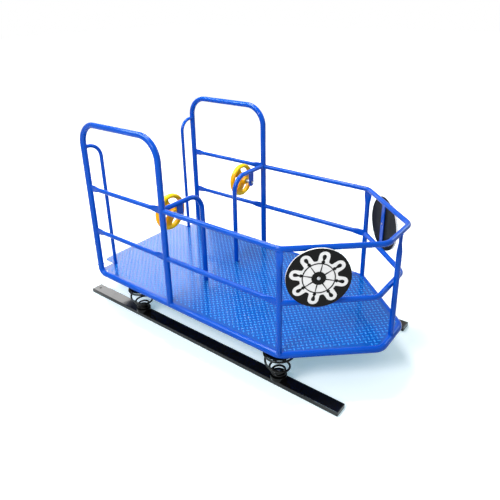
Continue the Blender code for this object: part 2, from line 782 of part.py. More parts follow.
def make_steering_wheel(word, side):
    """A grip ring, three wide spokes and a hub, in one moulding, with its axle along X."""
    name = f"steering_wheel_{word}"
    bore = BOLT_RADIUS + SLIDE_FIT
    hub_profile = [
        (bore, HUB_REAR + HUB_LENGTH),
        (HUB_NOSE_RADIUS, HUB_REAR + HUB_LENGTH),
        (HUB_RADIUS, HUB_REAR + HUB_RIM_LENGTH),
        (HUB_RADIUS, HUB_REAR + CHAMFER),
        (HUB_RADIUS - CHAMFER, HUB_REAR),
        (bore, HUB_REAR),
    ]
    wheel = turned(name, hub_profile, closed=True, steps=24)
    ring_profile = [
        (
            WHEEL_RADIUS + WHEEL_GRIP_RADIUS * math.sin(math.pi * step / 4 + math.pi / 8),
            WHEEL_GRIP_DEPTH * math.cos(math.pi * step / 4 + math.pi / 8),
        )
        for step in range(8)
    ]
    ring = turned(name + "_grip", ring_profile, closed=True, steps=32)
    spread = WHEEL_RADIUS - HUB_RADIUS
    drop = HUB_REAR + HUB_RIM_LENGTH / 2
    corner = Vector((spread / 2 + SPOKE_INSET, SPOKE_WIDTH / 2, SPOKE_THICKNESS / 2))
    tilt = math.atan2(drop, spread)
    middle = (WHEEL_RADIUS + HUB_RADIUS) / 2
    for number in range(SPOKES):
        angle = 2.0 * math.pi * number / SPOKES + math.radians(SPOKE_REST_ANGLE)
        spoke = block(f"{name}_spoke_{number}", -corner, corner)
        spoke.rotation_euler = (0.0, tilt, angle)
        spoke.location = (middle * math.cos(angle), middle * math.sin(angle), drop / 2)
        spoke.parent = wheel
        combine(wheel, spoke, "UNION")
    ring.parent = wheel
    combine(wheel, ring, "UNION")
    place = at(WHEEL_X, side * WHEEL_Y, WHEEL_Z)
    point_along(wheel, place, (1, 0, 0))
    return dress(wheel, name, YELLOW)


HUB_FRONT_X = WHEEL_X + HUB_REAR + HUB_LENGTH


def make_sleeve(word, side):
    """The spacer tube between a wheel's hub and its bracket."""
    name = f"wheel_sleeve_{word}"
    length = BRACKET_REAR - GAP - HUB_FRONT_X - GAP
    bore = BOLT_RADIUS + GAP
    profile = [(bore, length), (SLEEVE_RADIUS, length), (SLEEVE_RADIUS, 0.0), (bore, 0.0)]
    sleeve = turned(name, profile, closed=True, steps=16)
    point_along(sleeve, at(HUB_FRONT_X + GAP, side * WHEEL_Y, WHEEL_Z), (1, 0, 0))
    return dress(sleeve, name, STEEL)


def make_axle(word, side):
    """The bolt that a wheel turns on: its head is behind the hub."""
    name = f"wheel_axle_{word}"
    head_x = WHEEL_X + HUB_REAR - GAP
    end_x = BRACKET_FRONT + GAP + NUT_HEIGHT + BOLT_END
    length = end_x - head_x
    profile = [
        (0.0, length),
        (BOLT_RADIUS - FINE_CHAMFER, length),
        (BOLT_RADIUS, length - FINE_CHAMFER),
        (BOLT_RADIUS, 0.0),
        (BOLT_HEAD_RADIUS, 0.0),
        (BOLT_HEAD_RADIUS, CHAMFER - BOLT_HEAD_HEIGHT),
        (BOLT_HEAD_RADIUS - CHAMFER, -BOLT_HEAD_HEIGHT),
        (0.0, -BOLT_HEAD_HEIGHT),
    ]
    axle = turned(name, profile, steps=16)
    point_along(axle, at(head_x, side * WHEEL_Y, WHEEL_Z), (1, 0, 0))
    return dress(axle, name, STEEL)


def make_nut(word, side):
    name = f"wheel_nut_{word}"
    nut = cylinder(name, NUT_RADIUS, NUT_HEIGHT, sides=6)
    bore = cylinder(f"{name}_bore", BOLT_RADIUS + GAP, NUT_HEIGHT * 2, sides=16)
    bore.parent = nut
    combine(nut, bore)
    place = at(BRACKET_FRONT + GAP + NUT_HEIGHT / 2, side * WHEEL_Y, WHEEL_Z)
    point_along(nut, place, (1, 0, 0))
    return dress(nut, name, STEEL)


# Round panels on the bow's diagonals

def panel_place(side, outward):
    """A point on a panel's axis, at a distance outside the rails' centre plane."""
    start = Vector((BOW_X, side * HALF_WIDTH, 0.0))
    along = Vector((NOSE_X, side * NOSE_HALF_WIDTH, 0.0)) - start
    along.normalize()
    spot = start + along * PANEL_ALONG + panel_normal(side) * outward
    return at(spot.x, spot.y, (LOWER_BAR + UPPER_BAR) / 2)


def panel_normal(side):
    """The outward direction of a bow diagonal."""
    along_x = NOSE_X - BOW_X
    across = HALF_WIDTH - NOSE_HALF_WIDTH
    return Vector((across, side * along_x, 0.0)).normalized()


STRAP_INNER = RAIL_TUBE_RADIUS + GAP
STRAP_OUTER = STRAP_INNER + STRAP_THICKNESS
SPACER_INNER = STRAP_OUTER + GAP
PANEL_INNER = SPACER_INNER + PANEL_SPACER + GAP
PANEL_OUTER = PANEL_INNER + PANEL_THICKNESS


def make_strap(word, side):
    """An upright flat bar from the lower to the upper rail, on their outer side."""
    name = f"panel_strap_{word}"
    height = UPPER_BAR - LOWER_BAR
    hole = corner_arc(0.0, 0.0, BOLT_RADIUS + GAP, 0, 330, steps=11)
    strap = as_mesh(outline(name, [rectangle(STRAP_WIDTH, height), hole], STRAP_THICKNESS))
    normal = panel_normal(side)
    turn = math.atan2(normal.y, normal.x) + math.pi / 2
    strap.rotation_euler = (math.pi / 2, 0.0, turn)
    strap.location = panel_place(side, (STRAP_INNER + STRAP_OUTER) / 2)
    return dress(strap, name, BLUE)


def make_panel(word, side):
    """The round panel, which can be spun about its centre bolt."""
    name = f"bow_panel_{word}"
    bore = BOLT_RADIUS + SLIDE_FIT
    profile = [
        (bore, PANEL_THICKNESS),
        (PANEL_RADIUS - FINE_CHAMFER, PANEL_THICKNESS),
        (PANEL_RADIUS, PANEL_THICKNESS - FINE_CHAMFER),
        (PANEL_RADIUS, FINE_CHAMFER),
        (PANEL_RADIUS - FINE_CHAMFER, 0.0),
        (bore, 0.0),
    ]
    panel = turned(name, profile, closed=True, steps=48)
    point_along(panel, panel_place(side, PANEL_INNER), panel_normal(side))
    return dress(panel, name, PANEL_BLACK)


def make_panel_spacer(word, side):
    name = f"panel_spacer_{word}"
    bore = BOLT_RADIUS + GAP
    profile = [
        (bore, PANEL_SPACER),
        (PANEL_SPACER_RADIUS, PANEL_SPACER),
        (PANEL_SPACER_RADIUS, 0.0),
        (bore, 0.0),
    ]
    spacer = turned(name, profile, closed=True, steps=16)
    point_along(spacer, panel_place(side, SPACER_INNER), panel_normal(side))
    return dress(spacer, name, STEEL)


def make_panel_bolt(word, side):
    """The domed bolt through a panel, its spacer and its strap."""
    name = f"panel_bolt_{word}"
    low = STRAP_INNER - BOLT_END - PANEL_OUTER - GAP
    dome = [(0.0, PANEL_HEAD_HEIGHT)]
    for step in range(1, DOME_STEPS + 1):
        angle = math.pi / 2 * step / DOME_STEPS
        dome.append((PANEL_HEAD_RADIUS * math.sin(angle), PANEL_HEAD_HEIGHT * math.cos(angle)))
    profile = dome + [(BOLT_RADIUS, 0.0), (BOLT_RADIUS, low), (0.0, low)]
    bolt = turned(name, profile, steps=16)
    point_along(bolt, panel_place(side, PANEL_OUTER + GAP), panel_normal(side))
    return dress(bolt, name, STEEL)


# The whole object

make_deck()
rim = tube("rim_tube", rim_path(), RIM_RADIUS, resolution=4)
dress(rim, "rim_tube", BLUE, 40)
for place_word, beam_x in zip(("rear", "front"), SPRING_X):
    make_cross_beam(f"cross_beam_{place_word}", beam_x)
for side_word, side_sign in SIDES:
    make_ground_rail(side_word, side_sign)
    make_stringer(f"stringer_{side_word}", side_sign)
    for place_word, seat_x in zip(("rear", "front"), SPRING_X):
        spot_word = f"{place_word}_{side_word}"
        make_seat(f"spring_seat_{spot_word}", seat_x, side_sign)
        make_seat_bolt(f"seat_bolt_{spot_word}", seat_x, side_sign)
        make_spring(f"spring_{spot_word}", seat_x, side_sign)
        make_spring_plate(f"spring_plate_{spot_word}", seat_x, side_sign)
    make_hoop(side_word, side_sign)
    make_crossbar(f"lower_crossbar_{side_word}", side_sign, LOWER_BAR)
    make_crossbar(f"upper_crossbar_{side_word}", side_sign, UPPER_BAR)
    make_handle(side_word, side_sign)
    make_inner_frame(side_word, side_sign)
    make_lower_side_rail(side_word, side_sign)
    make_bow_post(side_word, side_sign)
    make_bracket(side_word, side_sign)
    make_steering_wheel(side_word, side_sign)
    make_sleeve(side_word, side_sign)
    make_axle(side_word, side_sign)
    make_nut(side_word, side_sign)
    make_strap(side_word, side_sign)
    make_panel(side_word, side_sign)
    make_panel_spacer(side_word, side_sign)
    make_panel_bolt(side_word, side_sign)
make_upper_rail()
make_lower_bow_rail()
make_nose_post()

print(f"least gap between the spring's turns: {least_gap(coil_path()) * 1000:.2f} mm")
print(f"parts: {len(parts.objects)}")
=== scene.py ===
# %% [markdown]
# # A boat-shaped spring rider
# The real thing is a railed platform for a playground: a deck of blue tread plate that rocks
# on four coil springs over two black ground rails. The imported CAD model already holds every
# part in its place, in metres. This lesson dresses it: smooth tubes instead of faceted ones,
# weld beads, a tread pattern, moulded steering wheels, routed panels, and finishes made of
# nodes. Each finer piece rides on the body of the part that it stands for.

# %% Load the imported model
import math

import bmesh
import bpy
from mathutils import Matrix, Vector


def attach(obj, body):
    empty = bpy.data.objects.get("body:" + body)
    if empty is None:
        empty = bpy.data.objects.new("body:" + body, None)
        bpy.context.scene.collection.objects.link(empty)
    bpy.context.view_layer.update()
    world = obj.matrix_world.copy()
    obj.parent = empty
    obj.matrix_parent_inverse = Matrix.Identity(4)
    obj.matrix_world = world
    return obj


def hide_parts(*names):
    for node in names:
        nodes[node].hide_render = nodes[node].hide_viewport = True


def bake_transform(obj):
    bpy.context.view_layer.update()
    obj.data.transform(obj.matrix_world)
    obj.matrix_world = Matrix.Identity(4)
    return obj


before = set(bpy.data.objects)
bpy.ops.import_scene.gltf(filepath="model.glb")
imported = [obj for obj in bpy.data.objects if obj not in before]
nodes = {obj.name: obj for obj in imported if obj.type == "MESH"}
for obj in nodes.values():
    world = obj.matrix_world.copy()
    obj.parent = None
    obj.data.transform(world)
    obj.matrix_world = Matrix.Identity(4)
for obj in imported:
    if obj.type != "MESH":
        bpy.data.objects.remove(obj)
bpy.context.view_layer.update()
SIDES = (("starboard", -1), ("port", 1))

# %% [markdown]
# ## Where the parts are
# The CAD measures from the rear posts and the deck's top, and then moves everything so that
# the origin is under the middle of the boat. The same sizes are repeated here, so that each
# new piece lands exactly where its CAD part is.

# %% Sizes of the boat
MIDDLE_X = 0.9681
GROUND_TO_DECK = 0.276
HALF_WIDTH = 0.55
BOW_X = 1.655
NOSE_X = 2.10
NOSE_HALF_WIDTH = 0.155
FRONT_POST_X = 0.75
RIM_RADIUS = 0.0212
RIM_Z = -0.017
RIM_NOSE_X = 2.115
POST_RADIUS = 0.0212
RAIL_RADIUS = 0.01685
HANDLE_RADIUS = 0.01345
CROSSBAR_RADIUS = 0.015
LOWER_BAR = 0.345
UPPER_BAR = 0.685
BOW_BEND = 0.09


def at(x, y, z):
    """A place measured from the rear posts and the deck's top, in the model's own frame."""
    return Vector((x - MIDDLE_X, y, z + GROUND_TO_DECK))


def diagonal_half_width(x):
    """Half of the width between the bow's two diagonals at a place along the boat."""
    share = (x - BOW_X) / (NOSE_X - BOW_X)
    return HALF_WIDTH + (NOSE_HALF_WIDTH - HALF_WIDTH) * share


def bow_corners(nose_x, z):
    """The corners of a tube round the bow, from starboard to port."""
    half = diagonal_half_width(nose_x)
    return [
        at(BOW_X, -HALF_WIDTH, z),
        at(nose_x, -half, z),
        at(nose_x, half, z),
        at(BOW_X, HALF_WIDTH, z),
    ]


print(f"the nose is {at(NOSE_X, 0, 0).x:.3f} m in front of the middle")

# %% [markdown]
# ## The camera
# The photograph looks down over the boat's starboard bow. The camera's place was solved from
# the straight tubes of the CAD model. Its three axes are written out, because the photograph
# has a slight roll that a simple look-at would lose.

# %% Camera
CAMERA_PLACE = Vector((2.0368, -2.5433, 2.2220))
azimuth, elevation, roll = (math.radians(angle) for angle in (37.756, 22.347, -1.063))
forward = Vector((
    -math.sin(azimuth) * math.cos(elevation),
    math.cos(azimuth) * math.cos(elevation),
    -math.sin(elevation),
))
level_right = Vector((math.cos(azimuth), math.sin(azimuth), 0.0))
level_down = forward.cross(level_right)
camera_x = level_right * math.cos(roll) - level_down * math.sin(roll)
camera_y = -(level_right * math.sin(roll) + level_down * math.cos(roll))
lens = bpy.data.cameras.new("photograph_camera")
lens.sensor_width = 36.0
lens.lens = 36.28
lens.shift_y = -0.0946
lens.clip_end = 200.0
camera = bpy.data.objects.new("photograph_camera", lens)
turn = Matrix((camera_x, camera_y, -forward)).transposed().to_4x4()
camera.matrix_world = Matrix.Translation(CAMERA_PLACE) @ turn
bpy.context.scene.collection.objects.link(camera)
bpy.context.scene.camera = camera
print(f"camera {CAMERA_PLACE.length:.2f} m from the middle of the boat's foot")

# %% [markdown]
# ## Node trees written as Python
# A finish is a small sum: colour here, roughness there. Wiring it by hand hides the sum, so
# one small class wraps a socket and gives it Python's arithmetic, and one method adds any
# other node: first its settings, then the values or links of its sockets. The same two
# classes write materials and Geometry Nodes.

# %% A socket with arithmetic
class Wire:
    """An output socket that Python's operators can work on."""

    def __init__(self, recipe, socket):
        self.recipe = recipe
        self.socket = socket

    def out(self, name):
        """Another output of the same node."""
        return Wire(self.recipe, find_socket(self.socket.node.outputs, name))

    def __add__(self, other):
        return self.recipe.sum("ADD", self, other)

    def __radd__(self, other):
        return self.recipe.sum("ADD", other, self)

    def __sub__(self, other):
        return self.recipe.sum("SUBTRACT", self, other)

    def __rsub__(self, other):
        return self.recipe.sum("SUBTRACT", other, self)

    def __mul__(self, other):
        return self.recipe.sum("MULTIPLY", self, other)

    def __rmul__(self, other):
        return self.recipe.sum("MULTIPLY", other, self)

    def __truediv__(self, other):
        return self.recipe.sum("DIVIDE", self, other)

    def __rtruediv__(self, other):
        return self.recipe.sum("DIVIDE", other, self)

    def __pow__(self, other):
        return self.recipe.sum("POWER", self, other)


def find_socket(sockets, key):
    """A socket by its number, or the first usable one of that name."""
    if isinstance(key, int):
        return sockets[key]
    return next(socket for socket in sockets if socket.enabled and socket.name == key)


print("wires ready")


# %% A node tree with one method for any node
class Recipe:
    """A node tree that is built line by line."""

    def __init__(self, tree):
        self.tree = tree
        tree.nodes.clear()

    def node(self, kind, settings=None, sockets=None, output=0):
        """Adds a node and returns one of its outputs."""
        node = self.tree.nodes.new(kind)
        for name, value in (settings or {}).items():
            setattr(node, name, value)
        for key, value in (sockets or {}).items():
            socket = find_socket(node.inputs, key)
            if isinstance(value, Wire):
                self.tree.links.new(value.socket, socket)
            else:
                socket.default_value = value
        if not node.outputs:
            return None
        return Wire(self, find_socket(node.outputs, output))

    def sum(self, operation, *values):
        """A Math node."""
        return self.node("ShaderNodeMath", {"operation": operation}, dict(enumerate(values)))

    def smooth(self, value, low, high):
        """0 below low, 1 above high, and a soft step between them."""
        return self.node(
            "ShaderNodeMapRange",
            {"interpolation_type": "SMOOTHSTEP"},
            {"Value": value, "From Min": low, "From Max": high, "To Min": 0.0, "To Max": 1.0},
        )

    def within_one(self, value):
        """The value, kept between 0 and 1."""
        return self.sum("MINIMUM", self.sum("MAXIMUM", value, 0.0), 1.0)


print("recipes ready")

# %% [markdown]
# ## Finishes
# Every finish starts from the same few ideas: where a point is on the piece (Object
# coordinates, which move with it), noise at the size of the real grain, and a bump that only
# bends the light. Powder coat is glossy but never flat: it flows into an orange peel of
# waves a few millimetres long, and hands and shoes leave it duller in patches.

# %% Tools for finishes
class Finish(Recipe):
    """A material's node tree, with the noise and mixes that the finishes share."""

    def __init__(self, name):
        self.material = bpy.data.materials.new(name)
        self.material.use_nodes = True
        super().__init__(self.material.node_tree)
        self.place = self.node("ShaderNodeTexCoord", {}, {}, output="Object")

    def noise(self, scale, detail=3.0, roughness=0.5, place=None):
        """Cloudy noise from 0 to 1. A larger scale makes a finer grain."""
        where = place or self.place
        sockets = {"Vector": where, "Scale": scale, "Detail": detail, "Roughness": roughness}
        return self.node("ShaderNodeTexNoise", {}, sockets)

    def stretched(self, scale):
        """The piece's coordinates, scaled differently along each axis."""
        return self.node("ShaderNodeMapping", {}, {"Vector": self.place, "Scale": scale})

    def mix(self, share, first, second):
        """A blend of two colours."""
        sockets = {"Factor": share, "A": first, "B": second}
        return self.node("ShaderNodeMix", {"data_type": "RGBA"}, sockets, output="Result")

    def bump(self, height, distance, strength=1.0):
        """A relief that only bends the light. Its full height is a distance in metres."""
        sockets = {"Height": height, "Distance": distance, "Strength": strength}
        return self.node("ShaderNodeBump", {}, sockets)

    def done(self, **sockets):
        """Puts the shader on the output and returns the material."""
        named = {name.replace("_", " "): value for name, value in sockets.items()}
        shader = self.node("ShaderNodeBsdfPrincipled", {}, named)
        self.node("ShaderNodeOutputMaterial", {}, {"Surface": shader})
        return self.material


def colour(red, green, blue):
    """A linear colour with full alpha."""
    return (red, green, blue, 1.0)


def grey(level):
    """The red, green and blue of a neutral tone."""
    return (level, level, level)


print("finish tools ready")


# %% Powder coat
def powder_coat(name, deep, light, dull, gloss, coat):
    """Sprayed and baked paint: orange peel, cloudy depth of colour, patches that hands dull."""
    paint = Finish(name)
    clouds = paint.noise(5.0, 2.0)
    peel = paint.noise(260.0, 2.0)
    dust = paint.noise(1400.0, 2.0)
    handled = paint.smooth(paint.noise(11.0, 5.0, 0.65), 0.5, 0.72)
    specks = paint.smooth(paint.noise(420.0, 1.0), 0.7, 0.76)
    tone = paint.mix(clouds, colour(*deep), colour(*light))
    tone = paint.mix(specks * 0.06, tone, colour(0.2, 0.25, 0.35))
    relief = paint.bump(peel * 0.8 + dust * 0.2, 0.0002, 0.3)
    return paint.done(
        Base_Color=tone,
        Roughness=dull + handled * 0.08 + dust * 0.03,
        Normal=relief,
        Specular_IOR_Level=gloss,
        Coat_Weight=coat - handled * coat * 0.4,
        Coat_Roughness=0.05,
    )


BLUE = powder_coat(
    "blue_powder_coat",
    deep=(0.0, 0.06, 0.43),
    light=(0.0, 0.092, 0.6),
    dull=0.08,
    gloss=0.12,
    coat=0.02,
)
BLACK = powder_coat(
    "black_powder_coat", deep=grey(0.002), light=grey(0.005), dull=0.1, gloss=0.3, coat=0.1
)
# Painted shade: a darker, less glossy copy of the black powder coat, for the seats and spring plates in
# the shade under the deck
SHADED_SEAT_BLACK = powder_coat(
    "black_powder_coat_seats", deep=grey(0.001), light=grey(0.003), dull=0.12, gloss=0.14, coat=0.04
)
print("powder coats made")

# %% [markdown]
# ## Tread plate, spring steel, plastics and zinc
# The deck is the same blue paint on rolled plate. A mask on height paints the tops of the
# raised bars a lighter blue, a painted highlight, and roughens them where shoes scratch them.
# The panels are a three-layer plastic sheet, black on white on black, with a fine pebble on
# its skin. The wheels are glossy moulded plastic, and the fixings are zinc plated.

# %% Tread plate finish
BAR_HEIGHT = 0.0017


def tread_paint():
    """The deck's blue paint, with a painted highlight on the raised bars and patches scuffed by shoes."""
    paint = Finish("blue_tread_plate")
    height = paint.node("ShaderNodeSeparateXYZ", {}, {"Vector": paint.place}, output="Z")
    crest_foot = GROUND_TO_DECK + BAR_HEIGHT * 0.12
    crest_top = GROUND_TO_DECK + BAR_HEIGHT * 0.55
    # Painted highlight: this mask turns the tops of the raised drops a lighter blue, as if lit, and also
    # roughens them a little for wear
    crest_highlight_and_wear = paint.smooth(height, crest_foot, crest_top)
    clouds = paint.noise(3.0, 3.0)
    scuffs = paint.smooth(paint.noise(1.0, 6.0, 0.7, paint.stretched((9.0, 26.0, 9.0))), 0.5, 0.7)
    grit = paint.noise(900.0, 2.0)
    peel = paint.noise(240.0, 2.0)
    tone = paint.mix(clouds, colour(0.0, 0.056, 0.33), colour(0.0, 0.094, 0.44))
    # Painted highlight: the drop tops are mixed towards a light blue, a little more where shoes scuffed
    # them
    tone = paint.mix(crest_highlight_and_wear * (0.75 + scuffs * 0.2), tone, colour(0.006, 0.26, 0.8))
    tone = paint.mix(scuffs * 0.06, tone, colour(0.1, 0.25, 0.5))
    relief = paint.bump(peel * 0.7 + grit * 0.3, 0.0003, 0.4)
    return paint.done(
        Base_Color=tone,
        Roughness=0.12 + scuffs * 0.1 + crest_highlight_and_wear * 0.04 + grit * 0.04,
        Normal=relief,
        Specular_IOR_Level=0.18,
        Coat_Weight=0.12 - scuffs * 0.1,
        Coat_Roughness=0.08,
    )


TREAD = tread_paint()
print("tread plate finish made")


# %% Spring steel and zinc
def spring_steel():
    """Black paint on spring wire, rubbed thin in patches."""
    paint = Finish("black_spring_steel")
    peel = paint.noise(300.0, 2.0)
    grit = paint.noise(1200.0, 2.0)
    rubbed = paint.smooth(paint.noise(24.0, 5.0, 0.7), 0.55, 0.75)
    tone = paint.mix(rubbed * 0.5, colour(0.002, 0.002, 0.002), colour(0.009, 0.009, 0.009))
    relief = paint.bump(peel * 0.7 + grit * 0.3, 0.0002, 0.4)
    return paint.done(
        Base_Color=tone, Roughness=0.12 + rubbed * 0.12, Normal=relief, Specular_IOR_Level=0.18
    )


def zinc_plate():
    """Zinc plated steel with a dull grain and darker stains."""
    paint = Finish("zinc_plated_steel")
    grain = paint.noise(700.0, 4.0, 0.6)
    stains = paint.smooth(paint.noise(60.0, 4.0), 0.45, 0.75)
    tone = paint.mix(stains, colour(0.42, 0.43, 0.45), colour(0.3, 0.3, 0.29))
    relief = paint.bump(grain, 0.0002, 0.5)
    return paint.done(
        Base_Color=tone, Metallic=1.0, Roughness=0.24 + grain * 0.16 + stains * 0.1, Normal=relief
    )


SPRING_BLACK = spring_steel()
ZINC = zinc_plate()
print("spring steel and zinc made")

# %% Plastics
WHEEL_PLACE = (0.652, 0.39, 0.60)
# Distances from the wheel's axis over which the painted shade in its hollow fades out
DISH_SHADE_EDGE = (0.06, 0.105)


def yellow_plastic():
    """Moulded plastic, with painted shade: a deeper orange in the hollow between hub and grip than on the
    grip itself.
    """
    paint = Finish("yellow_plastic")
    axis = at(*WHEEL_PLACE)
    clouds = paint.noise(18.0, 3.0)
    grain = paint.noise(1100.0, 3.0)
    rubbed = paint.smooth(paint.noise(30.0, 5.0, 0.7), 0.5, 0.75)
    tone = paint.mix(clouds, colour(1.0, 0.48, 0.0), colour(1.0, 0.78, 0.0))
    parts = paint.node("ShaderNodeSeparateXYZ", {}, {"Vector": paint.place}, output="X")
    along = parts - axis.x
    above = parts.out("Z") - axis.z
    from_axis = (along * along + above * above) ** 0.5
    # Painted shade: the hollow between hub and grip is painted a deeper orange, where shade gathers in it
    painted_dish_shade = 1.0 - paint.smooth(from_axis, *DISH_SHADE_EDGE)
    tone = paint.mix(painted_dish_shade * 0.75, tone, colour(1.0, 0.36, 0.0))
    relief = paint.bump(grain, 0.0002, 0.3)
    return paint.done(
        Base_Color=tone,
        Roughness=0.2 + rubbed * 0.12 + grain * 0.04,
        Normal=relief,
        Specular_IOR_Level=0.15,
        Subsurface_Weight=0.25,
        Subsurface_Radius=(1.0, 0.45, 0.05),
        Subsurface_Scale=0.012,
    )


def panel_skin(name, dark, light, pebble, dull):
    """The skin or the core of the panel's plastic sheet."""
    paint = Finish(name)
    grain = paint.noise(650.0, 3.0, 0.6)
    fine = paint.noise(2200.0, 2.0)
    scratches = paint.smooth(paint.noise(1.0, 4.0, 0.7, paint.stretched((40.0, 40.0, 400.0))), 0.6, 0.75)
    tone = paint.mix(grain, colour(*dark), colour(*light))
    relief = paint.bump(grain * 0.7 + fine * 0.3, pebble, 0.7)
    return paint.done(
        Base_Color=tone,
        Roughness=dull + scratches * 0.15 - grain * 0.08,
        Normal=relief,
        Specular_IOR_Level=0.1,
    )


YELLOW = yellow_plastic()
PANEL_BLACK = panel_skin(
    "black_panel", dark=grey(0.003), light=grey(0.009), pebble=0.0004, dull=0.5
)
PANEL_WHITE = panel_skin(
    "white_panel_core", dark=grey(0.96), light=grey(0.99), pebble=0.0003, dull=0.5
)
print(f"{len(bpy.data.materials)} materials in the file")

# %% [markdown]
# ## Tools for pieces
# A finished piece stands for a CAD node and rides on a body. Its object stays at the origin
# with its place in its mesh, so that a pattern on Object coordinates doesn't slide. Edges
# sharper than an angle stay crisp and the rest is shaded smooth.

# %% Finishing a piece
SLOTS = {
    BLUE: "blue_powder_coat",
    TREAD: "blue_tread_plate",
    BLACK: "black_powder_coat",
    SHADED_SEAT_BLACK: "black_powder_coat",
    SPRING_BLACK: "black_spring_steel",
    ZINC: "zinc_plated_steel",
    YELLOW: "yellow_plastic",
    PANEL_BLACK: "black_panel",
}


def link(name, mesh):
    """A new object in the scene that shows a mesh."""
    thing = bpy.data.objects.new(name, mesh)
    bpy.context.scene.collection.objects.link(thing)
    return thing


def smooth_faces(mesh, degrees=35.0):
    """Shades a mesh smooth, but for the edges that turn by more than an angle."""
    mesh.shade_smooth()
    mesh.set_sharp_from_angle(angle=math.radians(degrees))


def settle(thing, body, finish, *stands_for):
    """Gives a piece its material, hides what it stands for and lets it ride on a body."""
    if finish not in list(thing.data.materials):
        thing.data.materials.clear()
        thing.data.materials.append(finish)
    if stands_for:
        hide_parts(*stands_for)
    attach(thing, body)
    finish in SLOTS
    return thing


print(f"{len(SLOTS)} finishes have a slot in the record")


# %% Growing a piece from Geometry Nodes
def new_tree(name, inputs):
    """A Geometry Nodes tree with named inputs. Returns its recipe and its inputs as wires."""
    tree = bpy.data.node_groups.new(name, "GeometryNodeTree")
    tree.interface.new_socket("Geometry", in_out="INPUT", socket_type="NodeSocketGeometry")
    for label, kind in inputs.items():
        tree.interface.new_socket(label, in_out="INPUT", socket_type=kind)
    tree.interface.new_socket("Geometry", in_out="OUTPUT", socket_type="NodeSocketGeometry")
    recipe = Recipe(tree)
    given = recipe.node("NodeGroupInput")
    return recipe, {label: given.out(label) for label in ["Geometry", *inputs]}


def end_tree(recipe, geometry, finish):
    """Realizes instances, sets the material and ends the tree."""
    real = recipe.node("GeometryNodeRealizeInstances", {}, {"Geometry": geometry})
    dressed = recipe.node("GeometryNodeSetMaterial", {}, {"Geometry": real, "Material": finish})
    recipe.node("NodeGroupOutput", {"is_active_output": True}, {0: dressed})


def grow(name, mesh, tree, values, degrees=35.0):
    """Runs a tree on a mesh and keeps the result as a plain mesh object."""
    thing = link(name, mesh)
    modifier = thing.modifiers.new(tree.name, "NODES")
    modifier.node_group = tree
    for item in tree.interface.items_tree:
        if item.in_out == "INPUT" and item.name in values:
            modifier[item.identifier] = values[item.name]
    graph = bpy.context.evaluated_depsgraph_get()
    grown = bpy.data.meshes.new_from_object(thing.evaluated_get(graph))
    thing.modifiers.clear()
    thing.data = grown
    grown.name = name
    smooth_faces(grown, degrees)
    return thing


print("piece tools ready")

# %% [markdown]
# ## Bent tubes
# The railing is round tube, bent on a machine that keeps one radius in each bend. A tube is
# only a line of corner points, a radius for each corner, and a round section swept along it,
# so one Geometry Nodes tree makes them all: the line's own attribute "bend" feeds Fillet
# Curve, and Curve to Mesh sweeps the section. Inputs are the tube's radius and its facets.

# %% The bent tube tree
def bent_tube_tree():
    """A line of corner points, rounded at each corner and given a round section."""
    recipe, given = new_tree("bent_tube", {
        "Tube radius": "NodeSocketFloat",
        "Facets": "NodeSocketInt",
        "Steps per bend": "NodeSocketInt",
        "Finish": "NodeSocketMaterial",
    })
    line = recipe.node("GeometryNodeMeshToCurve", {}, {"Mesh": given["Geometry"]})
    bend = recipe.node("GeometryNodeInputNamedAttribute", {"data_type": "FLOAT"}, {"Name": "bend"})
    rounded = recipe.node(
        "GeometryNodeFilletCurve",
        {"mode": "POLY"},
        {"Curve": line, "Count": given["Steps per bend"], "Radius": bend},
    )
    section = recipe.node(
        "GeometryNodeCurvePrimitiveCircle",
        {"mode": "RADIUS"},
        {"Resolution": given["Facets"], "Radius": given["Tube radius"]},
    )
    skin = recipe.node(
        "GeometryNodeCurveToMesh",
        {},
        {"Curve": rounded, "Profile Curve": section, "Fill Caps": True},
    )
    end_tree(recipe, skin, given["Finish"])
    return recipe.tree


BENT_TUBE = bent_tube_tree()
TUBE_FACETS = 32


def bent_tube(name, corners, bends, radius, steps=14):
    """A round tube along corner points, each corner with its own bend radius."""
    mesh = bpy.data.meshes.new(name)
    mesh.from_pydata(corners, [(i, i + 1) for i in range(len(corners) - 1)], [])
    attribute = mesh.attributes.new("bend", "FLOAT", "POINT")
    attribute.data.foreach_set("value", bends)
    values = {"Tube radius": radius, "Facets": TUBE_FACETS, "Steps per bend": steps, "Finish": BLUE}
    return grow(name, mesh, BENT_TUBE, values)


print("bent tube tree ready")

# %% [markdown]
# ## Pressed ends
# Where a bar meets a post of its own size, the maker presses the bar's end flatter, so that
# it fits between the post's sides and can be welded all round. The tree can't know which end
# is pressed, so the points near that end are moved afterwards: one direction grows, the
# other shrinks, fully for three centimetres and then easing out over seven.

# %% Pressing the end of a tube
PINCH_LENGTH = 0.1
PINCH_FLAT = 0.03
PRESSED_BAR = (1.7, 0.35)
PRESSED_RAIL = (1.5, 0.4)
PRESSED_POST = (1.55, 0.4)
DRAWN_POST = (0.62, 0.62)
UP = Vector((0.0, 0.0, 1.0))


def press(thing, end, inward, wide, factors):
    """Presses the end of a bar flatter: wide grows and the third direction shrinks."""
    inward, wide = Vector(inward), Vector(wide)
    thin = inward.cross(wide)
    for point in thing.data.vertices:
        offset = point.co - end
        run = offset.dot(inward)
        if run < PINCH_LENGTH:
            share = 1.0 - max(run - PINCH_FLAT, 0.0) / (PINCH_LENGTH - PINCH_FLAT)
            eased = share * share * (3.0 - 2.0 * share)
            across = offset.dot(wide) * (1.0 + (factors[0] - 1.0) * eased)
            through = offset.dot(thin) * (1.0 + (factors[1] - 1.0) * eased)
            point.co = end + inward * run + wide * across + thin * through
    return thing


